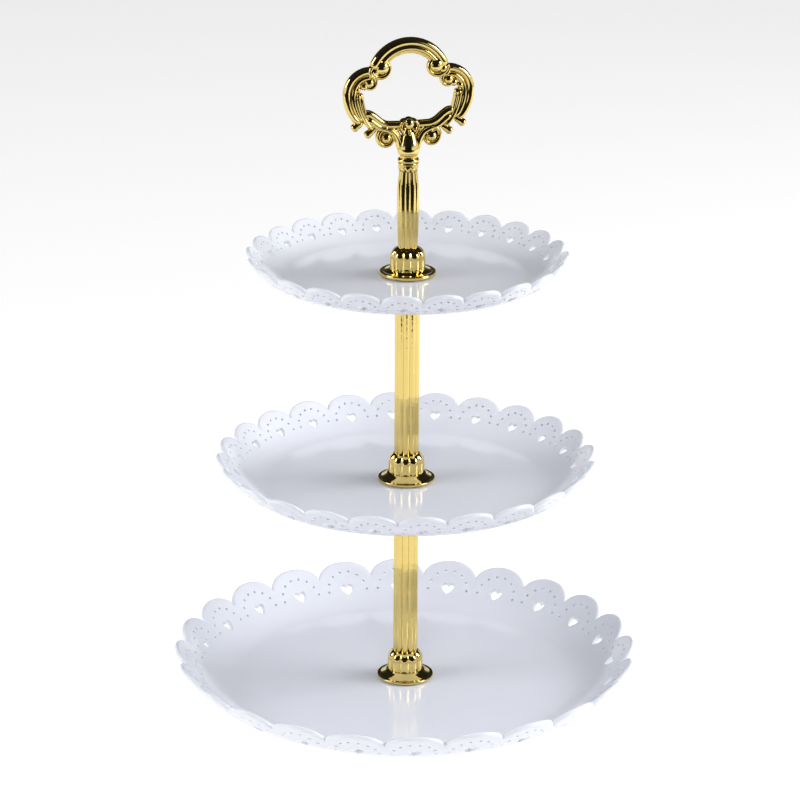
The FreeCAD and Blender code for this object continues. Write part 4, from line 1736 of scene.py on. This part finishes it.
@dataclass(frozen=True)
class Studio:
    """Floor, surroundings, lamps and camera."""

    distance: float = 1.634
    height: float = 0.7169
    azimuth_deg: float = 15.0
    aim_height: float = 0.172
    aim_left: float = 0.00375
    roll_deg: float = 0.32
    lens: float = 141.3
    floor_half: float = 9.0
    floor_front: float = 0.7
    floor_grey: float = 0.4
    glow: float = 0.70
    card_half: float = 2.2
    card_far: float = 3.1
    card_top: float = 4.2

    def build(self) -> None:
        """Set up the studio."""
        self._floor()
        self._black_cards()
        self._surroundings()
        middle = (0.0, 0.0, 0.15)
        for lamp in (
            SoftBox("left box", (-1.6, 0.14, 1.0), middle, (0.8, 0.8), 9.0),
            SoftBox("right box", (1.45, -0.68, 1.0), middle, (0.8, 0.8), 13.0),
            SoftBox("top scrim", (0.0, -0.1, 2.6), middle, (3.0, 3.0), 25.0, mirrored=False),
            SoftBox("front scrim", (-0.6, -2.4, 1.6), middle, (1.6, 1.2), 22.0, mirrored=False),
            SoftBox("left scrim", (-1.7, -0.3, 0.75), middle, (0.9, 1.2), 6.0, mirrored=False),
            SoftBox("right scrim", (1.7, -0.1, 0.75), middle, (0.9, 1.2), 20.0, mirrored=False),
        ):
            lamp.build()
        self._camera()

    def _ground(self, side: float, ahead: float, height: float = 0.0) -> tuple[float, float, float]:
        """Give a place around the stand as the camera's side sees it.

        Args:
            side: Metres to the camera's right.
            ahead: Metres towards the camera.
            height: Metres above the floor.

        Returns:
            The place in metres.
        """
        turn = math.radians(self.azimuth_deg)
        return (side * math.cos(turn) - ahead * math.sin(turn), -side * math.sin(turn) - ahead * math.cos(turn),
                height)

    def _floor(self) -> None:
        """Lay a plain pale floor that glows a little, as an evenly lit one looks."""
        half, ends = self.floor_half, self.floor_front
        shader = self._panel("floor", [self._ground(-half, ends), self._ground(half, ends),
                                       self._ground(half, -half), self._ground(-half, -half)], self.floor_grey)
        shader.inputs["Emission Color"].default_value = (1.0, 1.0, 1.0, 1.0)
        shader.inputs["Emission Strength"].default_value = self.glow

    def _panel(self, name: str, corners: Sequence[tuple[float, float, float]], grey: float,
               seen: bool = True) -> bpy.types.Node:
        """Put up one flat matt panel of the studio.

        Args:
            name: The panel's name.
            corners: Its corners in metres.
            grey: Its lightness.
            seen: Show it to the camera as well as in reflections.

        Returns:
            Its shader.
        """
        mesh = bpy.data.meshes.new(name)
        mesh.from_pydata(list(corners), [], [(0, 1, 2, 3)])
        material = bpy.data.materials.new(name)
        material.use_nodes = True
        shader = material.node_tree.nodes["Principled BSDF"]
        shader.inputs["Base Color"].default_value = (grey, grey, grey, 1.0)
        shader.inputs["Roughness"].default_value = 0.9
        panel = show(mesh, name, material)
        panel.visible_camera = seen
        return shader

    def _black_cards(self) -> None:
        """Put black cards past the floor's front edge, which give bright metal its dark lines."""
        half, near, far, top = self.card_half, self.floor_front, self.card_far, self.card_top
        self._panel("low black card", [self._ground(-half, near), self._ground(half, near),
                                       self._ground(half, far), self._ground(-half, far)], 0.01, seen=False)
        self._panel("tall black card", [self._ground(-half, far), self._ground(half, far),
                                        self._ground(half, far, top), self._ground(-half, far, top)], 0.01,
                    seen=False)

    def _surroundings(self) -> None:
        """Pale walls near the floor and a dark ceiling."""
        world = bpy.data.worlds.new("studio")
        world.use_nodes = True
        maker = NodeMaker(world.node_tree)
        backdrop = world.node_tree.nodes["Background"]
        way = maker.node("ShaderNodeTexCoord", {}, {}).outputs["Generated"]
        parts = maker.node("ShaderNodeSeparateXYZ", {}, {0: way})
        shade = maker.node("ShaderNodeValToRGB", {"stops": (
            (0.0, (1.0, 1.0, 1.0, 1.0)), (0.10, (1.0, 1.0, 1.0, 1.0)), (0.22, (0.08, 0.08, 0.09, 1.0)),
            (0.40, (0.02, 0.02, 0.024, 1.0)))}, {0: parts.outputs["Z"]})
        maker.feed(backdrop.inputs["Color"], shade.outputs[0])
        backdrop.inputs["Strength"].default_value = 1.0
        bpy.context.scene.world = world

    def _camera(self) -> None:
        """Stand the camera in front, a little above the handle's ring."""
        turn = math.radians(self.azimuth_deg)
        place = Vector((-math.sin(turn) * self.distance, -math.cos(turn) * self.distance, self.height))
        aim = Vector((-math.cos(turn) * self.aim_left, math.sin(turn) * self.aim_left, self.aim_height))
        lens = bpy.data.cameras.new("camera")
        lens.lens = self.lens
        lens.sensor_width = 36.0
        camera = bpy.data.objects.new("camera", lens)
        camera.location = place
        camera.rotation_mode = "QUATERNION"
        look = (aim - place).to_track_quat("-Z", "Y")
        camera.rotation_quaternion = look @ Quaternion((0.0, 0.0, 1.0), math.radians(self.roll_deg))
        bpy.context.scene.collection.objects.link(camera)
        bpy.context.scene.camera = camera
        bpy.context.scene.view_settings.view_transform = "Standard"


# ---------------------------------------------------------------- assembly
def dress_cad_nodes(materials: dict[str, bpy.types.Material]) -> None:
    """Give every node its slot's finish.

    Args:
        materials: Finishes by the record's material slot.
    """
    slots = {part["node"]: part["material_slot"] for part in frame["record"]["subparts"]}
    for name, node in frame["nodes"].items():
        for slot in node.material_slots:
            slot.material = materials[slots[name]]


def main() -> None:
    logging.basicConfig(level=logging.INFO, format="%(name)s: %(message)s")
    materials = {"plate": GLOSSY_WHITE.build(), "gold": BRIGHT_GOLD.build(), "insert": TURNED_BRASS.build(),
                 "steel": ZINC_STEEL.build(), "gasket": SOFT_RUBBER.build()}
    dress_cad_nodes(materials)
    pattern = RoundPattern()
    for dish in (
        PetalDish("bottom_plate", "base", BOTTOM_FLOOR, 130.0, BOTTOM_WALL, 0.569, 5.2, 0.72, 2.5),
        PetalDish("middle_plate", "middle_dish", MIDDLE_FLOOR, 105.4, MIDDLE_WALL, 0.550, 2.4, 0.65, 4.95),
        PetalDish("top_plate", "top_dish", TOP_FLOOR, 88.2, TOP_WALL, 0.533, 2.2, 0.60, 13.1),
    ):
        dish.build(pattern, materials["plate"])
    Post(pattern, materials["gold"]).build()
    Fastenings(pattern, materials["gold"], materials["insert"], materials["steel"],
               materials["gasket"]).build()
    Studio().build()


if __name__ == "__main__":
    main()
